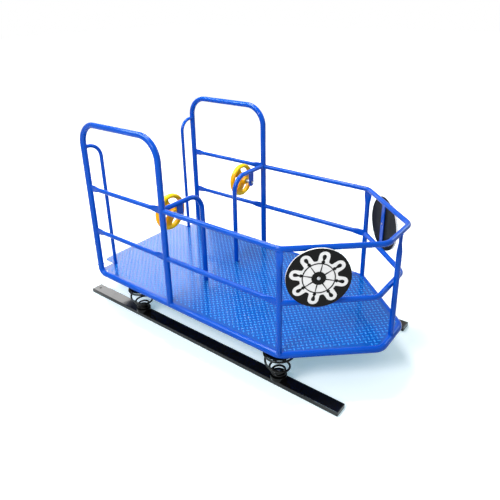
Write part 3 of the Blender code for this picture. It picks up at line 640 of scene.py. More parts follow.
def straight_line(start, finish):
    """Points along a straight bar, closer together near its ends, where it may be pressed."""
    way = (finish - start).normalized()
    steps = [PINCH_LENGTH * step / 12 for step in range(1, 14)]
    near_start = [start + way * step for step in steps]
    near_finish = [finish - way * step for step in reversed(steps)]
    return [start, *near_start, *near_finish, finish]


def straight_tube(name, start, finish, radius):
    """A round tube without bends."""
    corners = straight_line(start, finish)
    return bent_tube(name, corners, [0.0] * len(corners), radius)


print("pressing tool ready")

# %% [markdown]
# ## Rim, hoops and rails
# The rim tube is the boat's outline: it runs round the deck and turns up into the rear
# posts. The hoops stand on it, and the rails join them to the bow. Each tube runs a little
# way into the one it meets, as in the welded frame, where its end is cut to the other's
# curve and the cut is hidden by the weld.

# %% Rim tube
RIM_ELBOW_RADIUS = 0.05
RIM_ELBOW_TOP = 0.055
rim_corners = [at(0.0, -HALF_WIDTH, RIM_ELBOW_TOP), at(0.0, -HALF_WIDTH, RIM_Z)]
rim_corners += bow_corners(RIM_NOSE_X, RIM_Z)
rim_corners += [at(0.0, HALF_WIDTH, RIM_Z), at(0.0, HALF_WIDTH, RIM_ELBOW_TOP)]
rim_bends = [0.0, RIM_ELBOW_RADIUS, BOW_BEND, BOW_BEND, BOW_BEND, BOW_BEND, RIM_ELBOW_RADIUS, 0.0]
rim = bent_tube("rim_tube_smooth", rim_corners, rim_bends, RIM_RADIUS)
settle(rim, "deck", BLUE, "rim_tube")
print(f"rim tube: {len(rim.data.polygons)} faces")

# %% Hoops with their two crossbars
HOOP_TOP = 1.16
HOOP_BEND = 0.15

for word, side in SIDES:
    y = side * HALF_WIDTH
    corners = [
        at(0.0, y, RIM_ELBOW_TOP),
        at(0.0, y, HOOP_TOP),
        at(FRONT_POST_X, y, HOOP_TOP),
        at(FRONT_POST_X, y, RIM_Z),
    ]
    bends = [0.0, HOOP_BEND, HOOP_BEND, 0.0]
    hoop = bent_tube(f"hoop_{word}_smooth", corners, bends, POST_RADIUS, steps=20)
    settle(hoop, "deck", BLUE, f"hoop_{word}")
    for level, z in (("lower", LOWER_BAR), ("upper", UPPER_BAR)):
        start, finish = at(0.0, y, z), at(FRONT_POST_X, y, z)
        bar = straight_tube(f"{level}_crossbar_{word}_smooth", start, finish, CROSSBAR_RADIUS)
        press(bar, start + Vector((POST_RADIUS, 0, 0)), (1, 0, 0), UP, PRESSED_BAR)
        press(bar, finish - Vector((POST_RADIUS, 0, 0)), (-1, 0, 0), UP, PRESSED_BAR)
        settle(bar, "deck", BLUE, f"{level}_crossbar_{word}")
print("hoops and crossbars made")

# %% Rails round the bow
LOWER_NOSE_X = 2.078
upper_corners = [at(FRONT_POST_X, -HALF_WIDTH, UPPER_BAR), *bow_corners(NOSE_X, UPPER_BAR)]
upper_corners.append(at(FRONT_POST_X, HALF_WIDTH, UPPER_BAR))
upper_bends = [0.0] + [BOW_BEND] * 4 + [0.0]
upper_rail = bent_tube("upper_rail_smooth", upper_corners, upper_bends, RAIL_RADIUS)
settle(upper_rail, "deck", BLUE, "upper_rail")
lower_corners = bow_corners(LOWER_NOSE_X, LOWER_BAR)
lower_bends = [0.0, BOW_BEND, BOW_BEND, 0.0]
lower_rail = bent_tube("lower_bow_rail_smooth", lower_corners, lower_bends, RAIL_RADIUS)
settle(lower_rail, "deck", BLUE, "lower_bow_rail")

for word, side in SIDES:
    y = side * HALF_WIDTH
    start, finish = at(FRONT_POST_X, y, LOWER_BAR), at(BOW_X, y, LOWER_BAR)
    rail = straight_tube(f"lower_side_rail_{word}_smooth", start, finish, RAIL_RADIUS)
    press(rail, finish - Vector((RAIL_RADIUS, 0, 0)), (-1, 0, 0), UP, PRESSED_RAIL)
    settle(rail, "deck", BLUE, f"lower_side_rail_{word}")
    foot, top = at(BOW_X, y, RIM_Z), at(BOW_X, y, UPPER_BAR)
    post = straight_tube(f"bow_post_{word}_smooth", foot, top, RAIL_RADIUS)
    press(post, top - UP * RAIL_RADIUS, (0, 0, -1), (1, 0, 0), PRESSED_POST)
    settle(post, "deck", BLUE, f"bow_post_{word}")
print("rails and bow posts made")

# %% Nose post, handles and inner frames
NOSE_POST_X = 2.112
HANDLE_TOP = 0.985
HANDLE_Y = 0.417
HANDLE_BEND = 0.1
FRAME_TOP = 0.69
FRAME_Y = 0.18
FRAME_BEND = 0.12
nose_foot = at(NOSE_POST_X, 0.0, RIM_Z)
nose_top = at(NOSE_POST_X, 0.0, UPPER_BAR - RAIL_RADIUS * 0.5)
nose_post = straight_tube("nose_post_smooth", nose_foot, nose_top, RAIL_RADIUS)
under_rail = at(NOSE_POST_X, 0.0, UPPER_BAR - RAIL_RADIUS)
press(nose_post, under_rail, (0, 0, -1), (1, 0, 0), DRAWN_POST)
settle(nose_post, "deck", BLUE, "nose_post")


def side_bend(name, x, side, top, inner_y, bend, radius):
    """A tube that leaves a post inwards and bends down to the deck."""
    corners = [
        at(x, side * HALF_WIDTH, top),
        at(x, side * inner_y, top),
        at(x, side * inner_y, 0.0),
    ]
    return bent_tube(name, corners, [0.0, bend, 0.0], radius, steps=20)


for word, side in SIDES:
    for start, x, top, inner_y, bend, radius in (
        ("entrance_handle", 0.0, HANDLE_TOP, HANDLE_Y, HANDLE_BEND, HANDLE_RADIUS),
        ("inner_frame", FRONT_POST_X, FRAME_TOP, FRAME_Y, FRAME_BEND, RAIL_RADIUS),
    ):
        tube = side_bend(f"{start}_{word}_smooth", x, side, top, inner_y, bend, radius)
        settle(tube, "deck", BLUE, f"{start}_{word}")
print("handles and inner frames made")

# %% [markdown]
# ## Weld beads
# Each joint is welded all round before the frame is painted. A bead is a thin rope of
# overlapping drops that follows the line where two tubes meet. That line is found by
# walking outwards along the branch from the main tube's middle until the main tube's
# surface is reached. A tree then sweeps a small ring along it whose radius swells and
# shrinks once for each drop.

# %% The weld bead tree
def weld_tree():
    """A ring swept along a line, swelling and shrinking once for each drop of weld."""
    recipe, given = new_tree("weld_bead", {
        "Bead radius": "NodeSocketFloat",
        "Drop length": "NodeSocketFloat",
        "Drop depth": "NodeSocketFloat",
        "Finish": "NodeSocketMaterial",
    })
    line = recipe.node("GeometryNodeMeshToCurve", {}, {"Mesh": given["Geometry"]})
    fine = recipe.node(
        "GeometryNodeResampleCurve",
        {"mode": "LENGTH"},
        {"Curve": line, "Length": given["Drop length"] / 3.0},
    )
    along = recipe.node("GeometryNodeSplineParameter", {}, {}, output="Length")
    wave = recipe.sum("SINE", along / given["Drop length"] * (2.0 * math.pi))
    swell = 1.0 + wave * given["Drop depth"]
    ring = recipe.node(
        "GeometryNodeCurvePrimitiveCircle", {"mode": "RADIUS"}, {"Resolution": 8, "Radius": 1.0}
    )
    sized = recipe.node(
        "GeometryNodeSetCurveRadius", {}, {"Curve": fine, "Radius": swell * given["Bead radius"]}
    )
    sockets = {"Curve": sized, "Profile Curve": ring, "Fill Caps": True}
    if "Scale" in curve_to_mesh_sockets():
        sockets["Scale"] = recipe.node("GeometryNodeInputRadius")
    skin = recipe.node("GeometryNodeCurveToMesh", {}, sockets)
    end_tree(recipe, skin, given["Finish"])
    return recipe.tree


def curve_to_mesh_sockets():
    """The input names of Curve to Mesh, which differ between Blender's releases."""
    trial = bpy.data.node_groups.new("trial", "GeometryNodeTree")
    names = [socket.name for socket in trial.nodes.new("GeometryNodeCurveToMesh").inputs]
    bpy.data.node_groups.remove(trial)
    return names


WELD = weld_tree()
print("weld bead tree ready")


# %% Where two tubes meet
FARTHEST_MEETING = 0.06
HALVINGS = 14
LOOP_STEPS = 48


def distance_to(path, place):
    """The distance from a place to a line of straight runs."""
    least = math.inf
    for start, finish in zip(path, path[1:]):
        run = finish - start
        share = min(max((place - start).dot(run) / run.length_squared, 0.0), 1.0)
        least = min(least, (place - start - run * share).length)
    return least


def meeting_line(path, reach, foot, way, wide, half_wide, half_thin):
    """The closed line where a branch's skin meets the main tube's skin."""
    way, wide = Vector(way).normalized(), Vector(wide).normalized()
    thin = way.cross(wide)
    line = []
    for step in range(LOOP_STEPS):
        angle = 2.0 * math.pi * step / LOOP_STEPS
        start = foot + wide * half_wide * math.cos(angle) + thin * half_thin * math.sin(angle)
        low, high = 0.0, FARTHEST_MEETING
        for _ in range(HALVINGS):
            middle = (low + high) / 2.0
            if distance_to(path, start + way * middle) < reach:
                low = middle
            else:
                high = middle
        line.append(start + way * low)
    return line


def straight_path(x, side):
    """The axis of a post at a side."""
    return [at(x, side * HALF_WIDTH, RIM_Z), at(x, side * HALF_WIDTH, HOOP_TOP)]


def level_ring(centre, radius):
    """A level circle round a tube that stands on end."""
    angles = [2.0 * math.pi * step / LOOP_STEPS for step in range(LOOP_STEPS)]
    return [centre + Vector((math.cos(a), math.sin(a), 0.0)) * radius for a in angles]


print("meeting lines ready")

# %% All the joints
SNUG = 0.98
rim_axis = [at(0.0, -HALF_WIDTH, RIM_Z), *bow_corners(RIM_NOSE_X, RIM_Z), at(0.0, HALF_WIDTH, RIM_Z)]
loops = []


def join(path, reach, foot, way, wide, half_wide, half_thin):
    """Notes the bead's line where a branch meets the tube whose axis is the path."""
    loops.append(meeting_line(path, reach, foot, way, wide, half_wide, half_thin))


for word, side in SIDES:
    y = side * HALF_WIDTH
    rear_post, front_post = straight_path(0.0, side), straight_path(FRONT_POST_X, side)
    bow_post = straight_path(BOW_X, side)
    wide_bar, thin_bar = (CROSSBAR_RADIUS * factor for factor in PRESSED_BAR)
    for z in (LOWER_BAR, UPPER_BAR):
        join(rear_post, POST_RADIUS, at(0.0, y, z), (1, 0, 0), UP, wide_bar, thin_bar)
        front = at(FRONT_POST_X, y, z)
        join(front_post, POST_RADIUS, front, (-1, 0, 0), UP, wide_bar, thin_bar)
        join(front_post, POST_RADIUS, front, (1, 0, 0), UP, RAIL_RADIUS, RAIL_RADIUS)
    bow_low = at(BOW_X, y, LOWER_BAR)
    wide_rail, thin_rail = (RAIL_RADIUS * factor for factor in PRESSED_RAIL)
    join(bow_post, RAIL_RADIUS, bow_low, (-1, 0, 0), UP, wide_rail, thin_rail)
    to_nose = (at(NOSE_X, side * NOSE_HALF_WIDTH, LOWER_BAR) - bow_low).normalized()
    snug = RAIL_RADIUS * SNUG
    join(bow_post, RAIL_RADIUS, bow_low, to_nose, UP, snug, snug)
    handle_end, frame_end = at(0.0, y, HANDLE_TOP), at(FRONT_POST_X, y, FRAME_TOP)
    inwards = (0, -side, 0)
    join(rear_post, POST_RADIUS, handle_end, inwards, UP, HANDLE_RADIUS, HANDLE_RADIUS)
    join(front_post, POST_RADIUS, frame_end, inwards, UP, RAIL_RADIUS, RAIL_RADIUS)
    stem = POST_RADIUS * SNUG
    join(rim_axis, RIM_RADIUS, at(FRONT_POST_X, y, RIM_Z), UP, (1, 0, 0), stem, stem)
    join(rim_axis, RIM_RADIUS, at(BOW_X, y, RIM_Z), UP, (1, 0, 0), RAIL_RADIUS, RAIL_RADIUS)
    wide_post, thin_post = (RAIL_RADIUS * factor for factor in PRESSED_POST)
    bow_top = at(BOW_X, y, UPPER_BAR)
    join(upper_corners, RAIL_RADIUS, bow_top, -UP, (1, 0, 0), wide_post, thin_post)
    loops.append(level_ring(at(0.0, y, RIM_ELBOW_TOP), POST_RADIUS))
    loops.append(level_ring(at(0.0, side * HANDLE_Y, 0.0), HANDLE_RADIUS))
    loops.append(level_ring(at(FRONT_POST_X, side * FRAME_Y, 0.0), RAIL_RADIUS))
drawn = RAIL_RADIUS * DRAWN_POST[0]
nose_high = at(NOSE_POST_X, 0.0, UPPER_BAR)
join(upper_corners, RAIL_RADIUS, nose_high, -UP, (1, 0, 0), drawn, drawn)
join(rim_axis, RIM_RADIUS, nose_foot, UP, (1, 0, 0), RAIL_RADIUS, RAIL_RADIUS)
print(f"{len(loops)} welded joints")


# %% Beads on every joint
def beads(name, lines):
    """One object with a bead on each of several closed lines."""
    points, edges = [], []
    for line in lines:
        first = len(points)
        points += line
        edges += [(first + i, first + i + 1) for i in range(len(line) - 1)]
        edges.append((len(points) - 1, first))
    mesh = bpy.data.meshes.new(name)
    mesh.from_pydata(points, edges, [])
    values = {"Bead radius": 0.0026, "Drop length": 0.0034, "Drop depth": 0.16, "Finish": BLUE}
    return settle(grow(name, mesh, WELD, values, 60.0), "deck", BLUE)


welds = beads("weld_beads", loops)
print(f"weld beads: {len(welds.data.polygons)} faces")

# %% [markdown]
# ## Tread plate
# Rolled floor plate carries rows of raised drops that point crosswise in turn. In the
# photograph the pattern repeats every 39 mm along and across the boat. The CAD plate stays
# as it is and the drops are scattered on it: a grid of points half a repeat apart, every
# other point kept, each drop turned 45 degrees to one side or the other by the column it
# is in. A ray from each point down to the plate's outline, pulled in a little, keeps the
# drops off the edge.

# %% The shape of one drop
JUST_BELOW = -0.01


def drop_shape(recipe, given):
    """The upper half of a spindle that is one unit long, scaled to the drop's three sizes."""
    line = recipe.node(
        "GeometryNodeCurvePrimitiveLine", {"mode": "POINTS"}, {"Start": (-0.5, 0, 0), "End": (0.5, 0, 0)}
    )
    line = recipe.node("GeometryNodeResampleCurve", {"mode": "COUNT"}, {"Curve": line, "Count": 7})
    share = recipe.node("GeometryNodeSplineParameter", {}, {}, output="Factor")
    belly = recipe.sum("SINE", share * math.pi) ** 0.8
    line = recipe.node("GeometryNodeSetCurveRadius", {}, {"Curve": line, "Radius": belly * 0.5})
    ring = recipe.node(
        "GeometryNodeCurvePrimitiveCircle", {"mode": "RADIUS"}, {"Resolution": 8, "Radius": 1.0}
    )
    sockets = {"Curve": line, "Profile Curve": ring, "Fill Caps": False}
    if "Scale" in curve_to_mesh_sockets():
        sockets["Scale"] = recipe.node("GeometryNodeInputRadius")
    drop = recipe.node("GeometryNodeCurveToMesh", {}, sockets)
    place = recipe.node("GeometryNodeInputPosition")
    height = recipe.node("ShaderNodeSeparateXYZ", {}, {"Vector": place}, output="Z")
    low = recipe.sum("LESS_THAN", height, JUST_BELOW)
    drop = recipe.node(
        "GeometryNodeDeleteGeometry", {"domain": "POINT"}, {"Geometry": drop, "Selection": low}
    )
    drop = recipe.node("GeometryNodeMergeByDistance", {}, {"Geometry": drop, "Distance": 0.001})
    size = recipe.node(
        "ShaderNodeCombineXYZ",
        {},
        {"X": given["Drop length"], "Y": given["Drop width"], "Z": given["Drop height"] * 2.0},
    )
    return recipe.node("GeometryNodeTransform", {}, {"Geometry": drop, "Scale": size})


print("drop shape ready")

# %% The tread tree
GRID_COLUMNS = 120
GRID_ROWS = 60


def tread_tree():
    """Raised drops, crosswise in turn, wherever a grid point lies over the plate."""
    recipe, given = new_tree("tread_drops", {
        "Repeat": "NodeSocketFloat",
        "Drop length": "NodeSocketFloat",
        "Drop width": "NodeSocketFloat",
        "Drop height": "NodeSocketFloat",
        "Finish": "NodeSocketMaterial",
    })
    half = given["Repeat"] / 2.0
    grid = recipe.node("GeometryNodeMeshGrid", {}, {
        "Size X": half * float(GRID_COLUMNS),
        "Size Y": half * float(GRID_ROWS),
        "Vertices X": GRID_COLUMNS + 1,
        "Vertices Y": GRID_ROWS + 1,
    })
    place = recipe.node("GeometryNodeInputPosition")
    flat = recipe.node("ShaderNodeSeparateXYZ", {}, {"Vector": place})
    column = recipe.sum("ROUND", flat.out("X") / half)
    row = recipe.sum("ROUND", flat.out("Y") / half)
    odd_column = recipe.sum("FLOORED_MODULO", column, 2.0)
    odd_row = recipe.sum("FLOORED_MODULO", row, 2.0)
    mismatch = recipe.sum("ABSOLUTE", odd_column - odd_row)
    above = recipe.node(
        "ShaderNodeVectorMath", {"operation": "ADD"}, {0: place, 1: (0.0, 0.0, 1.0)}
    )
    sockets = {
        "Target Geometry": given["Geometry"],
        "Source Position": above,
        "Ray Direction": (0.0, 0.0, -1.0),
    }
    hit = recipe.node("GeometryNodeRaycast", {}, sockets, output="Is Hit")
    missed = 1.0 - hit
    drop_out = recipe.sum("GREATER_THAN", missed + mismatch, 0.5)
    kept = recipe.node(
        "GeometryNodeDeleteGeometry", {"domain": "POINT"}, {"Geometry": grid, "Selection": drop_out}
    )
    drop = drop_shape(recipe, given)
    slant = recipe.node("ShaderNodeCombineXYZ", {}, {"Z": (odd_column - 0.5) * (math.pi / 2.0)})
    slanted = recipe.node("FunctionNodeEulerToRotation", {}, {0: slant})
    laid = recipe.node(
        "GeometryNodeInstanceOnPoints", {}, {"Points": kept, "Instance": drop, "Rotation": slanted}
    )
    end_tree(recipe, laid, given["Finish"])
    return recipe.tree


TREAD_DROPS = tread_tree()
print("tread tree ready")

# %% Drops on the deck
TONGUE_REACH = 0.13
TONGUE_HALF_WIDTH = 0.425
TONGUE_ROOT_X = 0.02
EDGE_MARGIN = 0.026


def deck_outline(margin):
    """The deck's outline, pulled in by a margin along the rim and by less round the tongue."""
    half = HALF_WIDTH - margin
    tongue = TONGUE_HALF_WIDTH - margin * 0.5
    port = [
        (-TONGUE_REACH + margin * 0.6, tongue),
        (TONGUE_ROOT_X, tongue),
        (TONGUE_ROOT_X, half),
        (BOW_X, half),
        (RIM_NOSE_X - margin, diagonal_half_width(RIM_NOSE_X) - margin * 0.4),
    ]
    starboard = [(x, -y) for x, y in reversed(port)]
    return [at(x, y, 0.0) for x, y in port + starboard]


outline = deck_outline(EDGE_MARGIN)
field = bpy.data.meshes.new("tread_field")
field.from_pydata(outline, [], [range(len(outline))])
field.transform(Matrix.Translation((0.0, 0.0, -GROUND_TO_DECK)))
tread_values = {
    "Repeat": 0.039,
    "Drop length": 0.03,
    "Drop width": 0.0115,
    "Drop height": BAR_HEIGHT,
    "Finish": TREAD,
}
drops = grow("tread_drops", field, TREAD_DROPS, tread_values, 80.0)
drops.data.transform(Matrix.Translation((0.0, 0.0, GROUND_TO_DECK)))
settle(drops, "deck", TREAD)
print(f"tread: {len(drops.data.polygons)} faces")

# %% [markdown]
# ## Springs
# Each spring is one wire: two turns that climb from the seat and begin to widen, a little
# more than one open turn, and three quarters of a wide level turn under the deck. The rule
# for radius and height is the CAD's own, written as nodes. When the deck bounces, pitches
# and rolls the wire has to follow three joints, one after another. So it is grown in seven
# lengths: four that move with one body each, and three short arcs between them, each less
# than half a turn, which stay where they are grown and ride on no body. All three arcs lie
# low, where the turns can sink past one another, because each is wider than the one under
# it by more than the wire. The turns above them, which are nearly as wide as the last one,
# move with the deck as one.

# %% The coil tree
WIRE_RADIUS = 0.007
COIL_BOTTOM = -0.2104
COIL_TOP = -0.0569
BASE_TURNS = 2.0
OPEN_TURNS = 1.25
TOP_TURNS = 0.75
BASE_PITCH = 0.026
SPREAD = (1.0, 2.9)
COIL_RADII = (0.041, 0.094, 0.082)
COIL_REST_ANGLE = 37.8
STEPS_PER_TURN = 64


def coil_tree():
    """A wire between two turns of a spring that is narrow on its seat and widens upwards."""
    recipe, given = new_tree("coil_spring", {
        "From turn": "NodeSocketFloat",
        "To turn": "NodeSocketFloat",
        "Steps": "NodeSocketInt",
        "Wire radius": "NodeSocketFloat",
        "Seat radius": "NodeSocketFloat",
        "Widest radius": "NodeSocketFloat",
        "End radius": "NodeSocketFloat",
        "Rise": "NodeSocketFloat",
        "Finish": "NodeSocketMaterial",
    })
    line = recipe.node("GeometryNodeCurvePrimitiveLine", {"mode": "POINTS"}, {"End": (0.0, 0.0, 1.0)})
    line = recipe.node(
        "GeometryNodeResampleCurve", {"mode": "COUNT"}, {"Curve": line, "Count": given["Steps"]}
    )
    share = recipe.node("GeometryNodeSplineParameter", {}, {}, output="Factor")
    turns = given["From turn"] + share * (given["To turn"] - given["From turn"])
    spread = recipe.within_one((turns - SPREAD[0]) / (SPREAD[1] - SPREAD[0]))
    radius = given["Seat radius"] + (given["Widest radius"] - given["Seat radius"]) * spread
    closing = recipe.sum("MAXIMUM", turns - (BASE_TURNS + OPEN_TURNS), 0.0) / TOP_TURNS
    radius = radius + (given["End radius"] - given["Widest radius"]) * closing
    open_share = recipe.within_one((turns - BASE_TURNS) / OPEN_TURNS)
    slope = BASE_PITCH * OPEN_TURNS / given["Rise"]
    eased = slope * open_share
    eased = eased + (3.0 - 2.0 * slope) * open_share ** 2.0
    eased = eased + (slope - 2.0) * open_share ** 3.0
    height = recipe.sum("MINIMUM", turns, BASE_TURNS) * BASE_PITCH + given["Rise"] * eased
    angle = math.radians(COIL_REST_ANGLE) - turns * (2.0 * math.pi)
    spot = recipe.node(
        "ShaderNodeCombineXYZ",
        {},
        {"X": radius * recipe.sum("COSINE", angle), "Y": radius * recipe.sum("SINE", angle), "Z": height},
    )
    wound = recipe.node("GeometryNodeSetPosition", {}, {"Geometry": line, "Position": spot})
    wound = recipe.node("GeometryNodeSetCurveNormal", {"mode": "Z_UP"}, {"Curve": wound})
    section = recipe.node(
        "GeometryNodeCurvePrimitiveCircle",
        {"mode": "RADIUS"},
        {"Resolution": 20, "Radius": given["Wire radius"]},
    )
    skin = recipe.node(
        "GeometryNodeCurveToMesh", {}, {"Curve": wound, "Profile Curve": section, "Fill Caps": True}
    )
    end_tree(recipe, skin, given["Finish"])
    return recipe.tree


COIL = coil_tree()
print("coil tree ready")

# %% Four springs, each in seven lengths
REAR_SPRING_X = 0.375
FRONT_SPRING_X = 1.61
RAIL_Y = 0.486
COIL_RISE = COIL_TOP - COIL_BOTTOM - BASE_PITCH * BASE_TURNS
LENGTHS = (
    (0.0, 1.2, "ground_frame", None),
    (1.2, 1.55, "ground_frame", "rear_springs"),
    (1.55, 1.6, "rear_springs", None),
    (1.6, 1.95, "rear_springs", "front_springs"),
    (1.95, 2.0, "front_springs", None),
    (2.0, 2.4, "front_springs", "deck"),
    (2.4, BASE_TURNS + OPEN_TURNS + TOP_TURNS, "deck", None),
)


def coil_length(name, start, finish, place):
    """A length of the wire between two turns, put in its place."""
    values = {
        "From turn": start,
        "To turn": finish,
        "Steps": round((finish - start) * STEPS_PER_TURN) + 1,
        "Wire radius": WIRE_RADIUS,
        "Seat radius": COIL_RADII[0],
        "Widest radius": COIL_RADII[1],
        "End radius": COIL_RADII[2],
        "Rise": COIL_RISE,
        "Finish": SPRING_BLACK,
    }
    wire = grow(name, bpy.data.meshes.new(name), COIL, values, 50.0)
    wire.data.transform(place)
    return wire


def wire_point(turns, place):
    """A point of the wire, brought down level with its foot, so that a chord lies flat."""
    grown = min(max((turns - SPREAD[0]) / (SPREAD[1] - SPREAD[0]), 0.0), 1.0)
    radius = COIL_RADII[0] + (COIL_RADII[1] - COIL_RADII[0]) * grown
    angle = math.radians(COIL_REST_ANGLE) - 2.0 * math.pi * turns
    return place @ Vector((radius * math.cos(angle), radius * math.sin(angle), 0.0))


for end_word, x in (("rear", REAR_SPRING_X), ("front", FRONT_SPRING_X)):
    for word, side in SIDES:
        spot = Matrix.Translation(at(x, side * RAIL_Y, COIL_BOTTOM))
        spot = spot @ Matrix.Rotation(math.pi if side > 0 else 0.0, 4, "Z")
        for number, (start, finish, body, next_body) in enumerate(LENGTHS):
            wire = coil_length(f"spring_{end_word}_{word}_length_{number + 1}", start, finish, spot)
            if number == 0:
                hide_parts(f"spring_{end_word}_{word}")
            if next_body is None:
                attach(wire, body)
                continue
            from_point, to_point = wire_point(start, spot), wire_point(finish, spot)
            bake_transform(wire)
print("springs wound")

# %% [markdown]
# ## Turned parts
# Spring seats, spring plates, sleeves, spacers and bolt heads are all round about one axis,
# so each is a profile turned about it. The profile is a list of radius and height. Blender's
# Screw modifier would do it too, but a few lines of mesh code also close the poles, and one
# call makes every face point outwards.

# %% Turning a profile
def facing(way):
    """The turn that points a piece's own Z axis along a direction."""
    return Vector(way).to_track_quat("Z", "Y").to_matrix().to_4x4()


def keep(name, shape, degrees=35.0):
    """Turns edited geometry into a named object."""
    mesh = bpy.data.meshes.new(name)
    shape.to_mesh(mesh)
    shape.free()
    smooth_faces(mesh, degrees)
    return link(name, mesh)


def turned(name, profile, place, way, closed=True, steps=64):
    """A profile of (radius, height) that runs down its outer side, turned about its axis."""
    shape = bmesh.new()
    rings = []
    for radius, height in profile:
        if radius < 0.00001:
            rings.append([shape.verts.new((0.0, 0.0, height))] * steps)
            continue
        rings.append([
            shape.verts.new((
                radius * math.cos(2.0 * math.pi * step / steps),
                radius * math.sin(2.0 * math.pi * step / steps),
                height,
            ))
            for step in range(steps)
        ])
    pairs = list(zip(rings, rings[1:]))
    if closed:
        pairs.append((rings[-1], rings[0]))
    for upper, lower in pairs:
        for step in range(steps):
            after = (step + 1) % steps
            corners = [upper[step], lower[step], lower[after], upper[after]]
            corners = list(dict.fromkeys(corners))
            if len(corners) > 2:
                shape.faces.new(corners)
    bmesh.ops.recalc_face_normals(shape, faces=shape.faces)
    bmesh.ops.transform(shape, matrix=Matrix.Translation(place) @ facing(way), verts=shape.verts)
    return keep(name, shape)


def rounded_profile(corners, radius):
    """The corners of a profile, each but the first and last rounded by three points."""
    points = [Vector(corners[0])]
    for before, corner, after in zip(corners, corners[1:], corners[2:]):
        before, corner, after = Vector(before), Vector(corner), Vector(after)
        reach = min(radius, (corner - before).length / 3.0, (after - corner).length / 3.0)
        start = corner + (before - corner).normalized() * reach
        finish = corner + (after - corner).normalized() * reach
        points += [start, (start + corner * 2.0 + finish) / 4.0, finish]
    return [tuple(point) for point in points + [Vector(corners[-1])]]


print("turning tool ready")

# %% Spring seats, their bolts and the spring plates
SEAT_HEIGHT = 0.028
SEAT_RADIUS = 0.054
SPIGOT_TOP = 0.048
SPIGOT_CLEARANCE = 0.0005
SPIGOT_RADIUS = COIL_RADII[0] * math.cos(math.pi / 9) - WIRE_RADIUS - SPIGOT_CLEARANCE
BOLT_RADIUS = 0.006
SEAT_HEAD_RADIUS = 0.0115
HEAD_HEIGHT = 0.0075
CLEARANCE = 0.0003
DECK_PLATE_THICKNESS = 0.003
BEAM_HEIGHT = 0.04
BEAM_BOTTOM = -DECK_PLATE_THICKNESS - CLEARANCE - BEAM_HEIGHT
SPRING_PLATE_RADIUS = 0.089
SPRING_PLATE_THICKNESS = 0.006
BOSS_DEPTH = 0.008
BOSS_CLEARANCE = 0.004
BOSS_RADIUS = COIL_RADII[2] - WIRE_RADIUS - BOSS_CLEARANCE
DECK_HEIGHT = 0.246


def hexagon(name, radius, height, place, way):
    """A hexagon head or nut with every edge lightly bevelled."""
    shape = bmesh.new()
    bmesh.ops.create_cone(
        shape, cap_ends=True, segments=6, radius1=radius, radius2=radius, depth=height
    )
    bmesh.ops.bevel(
        shape,
        geom=list(shape.edges),
        offset=radius * 0.07,
        offset_type="OFFSET",
        segments=2,
        affect="EDGES",
    )
    bmesh.ops.transform(shape, matrix=Matrix.Translation(place) @ facing(way), verts=shape.verts)
    return keep(name, shape, 20.0)


for end_word, x in (("rear", REAR_SPRING_X), ("front", FRONT_SPRING_X)):
    for word, side in SIDES:
        spot = f"{end_word}_{word}"
        foot = at(x, side * RAIL_Y, -DECK_HEIGHT + CLEARANCE)
        bore = BOLT_RADIUS + CLEARANCE
        seat_profile = rounded_profile([
            (bore, SPIGOT_TOP),
            (SPIGOT_RADIUS, SPIGOT_TOP),
            (SPIGOT_RADIUS, SEAT_HEIGHT),
            (SEAT_RADIUS, SEAT_HEIGHT),
            (SEAT_RADIUS, 0.0),
            (bore, 0.0),
        ], radius=0.003)
        seat = turned(f"spring_seat_{spot}_smooth", seat_profile, foot, UP)
        settle(seat, "ground_frame", SHADED_SEAT_BLACK, f"spring_seat_{spot}")
        head_middle = foot + UP * (SPIGOT_TOP + CLEARANCE + HEAD_HEIGHT / 2.0)
        head = hexagon(f"seat_bolt_{spot}_head", SEAT_HEAD_RADIUS, HEAD_HEIGHT, head_middle, UP)
        settle(head, "ground_frame", ZINC, f"seat_bolt_{spot}")
        plate_top = at(x, side * RAIL_Y, BEAM_BOTTOM - CLEARANCE)
        low = -SPRING_PLATE_THICKNESS - BOSS_DEPTH
        plate_profile = rounded_profile([
            (0.0, 0.0),
            (SPRING_PLATE_RADIUS, 0.0),
            (SPRING_PLATE_RADIUS, -SPRING_PLATE_THICKNESS),
            (BOSS_RADIUS, -SPRING_PLATE_THICKNESS),
            (BOSS_RADIUS, low),
            (0.0, low),
        ], radius=0.0015)
        plate = turned(f"spring_plate_{spot}_smooth", plate_profile, plate_top, UP, closed=False)
        settle(plate, "deck", SHADED_SEAT_BLACK, f"spring_plate_{spot}")
print("seats and spring plates made")

# %% [markdown]
# ## Steering wheels
# Each wheel is one hollow-looking plastic moulding: a deep grip ring, three wide spokes that
# flare into it, and a hub. Moulded plastic has no sharp inner corners, because the plastic
# must flow. So the parts are pushed into one another, a voxel remesh melts them into one
# skin, and a few rounds of smoothing leave the soft fillets of a moulding. Last, a Boolean
# cuts the bore that the axle bolt runs in.

# %% A spoke, about the wheel's axis
SPOKE_CORNERS = 12
SPOKE_SECTIONS = (
    {"reach": 0.012, "half_width": 0.034, "level": 0.017, "half_depth": 0.012},
    {"reach": 0.04, "half_width": 0.034, "level": 0.012, "half_depth": 0.012},
    {"reach": 0.07, "half_width": 0.0335, "level": 0.006, "half_depth": 0.0115},
    {"reach": 0.088, "half_width": 0.042, "level": 0.002, "half_depth": 0.0118},
    {"reach": 0.111, "half_width": 0.062, "level": 0.0, "half_depth": 0.012},
)


def squarer(value, power):
    """A sine or cosine pushed outwards, so that a round section becomes a squarer one."""
    return math.copysign(abs(value) ** power, value)


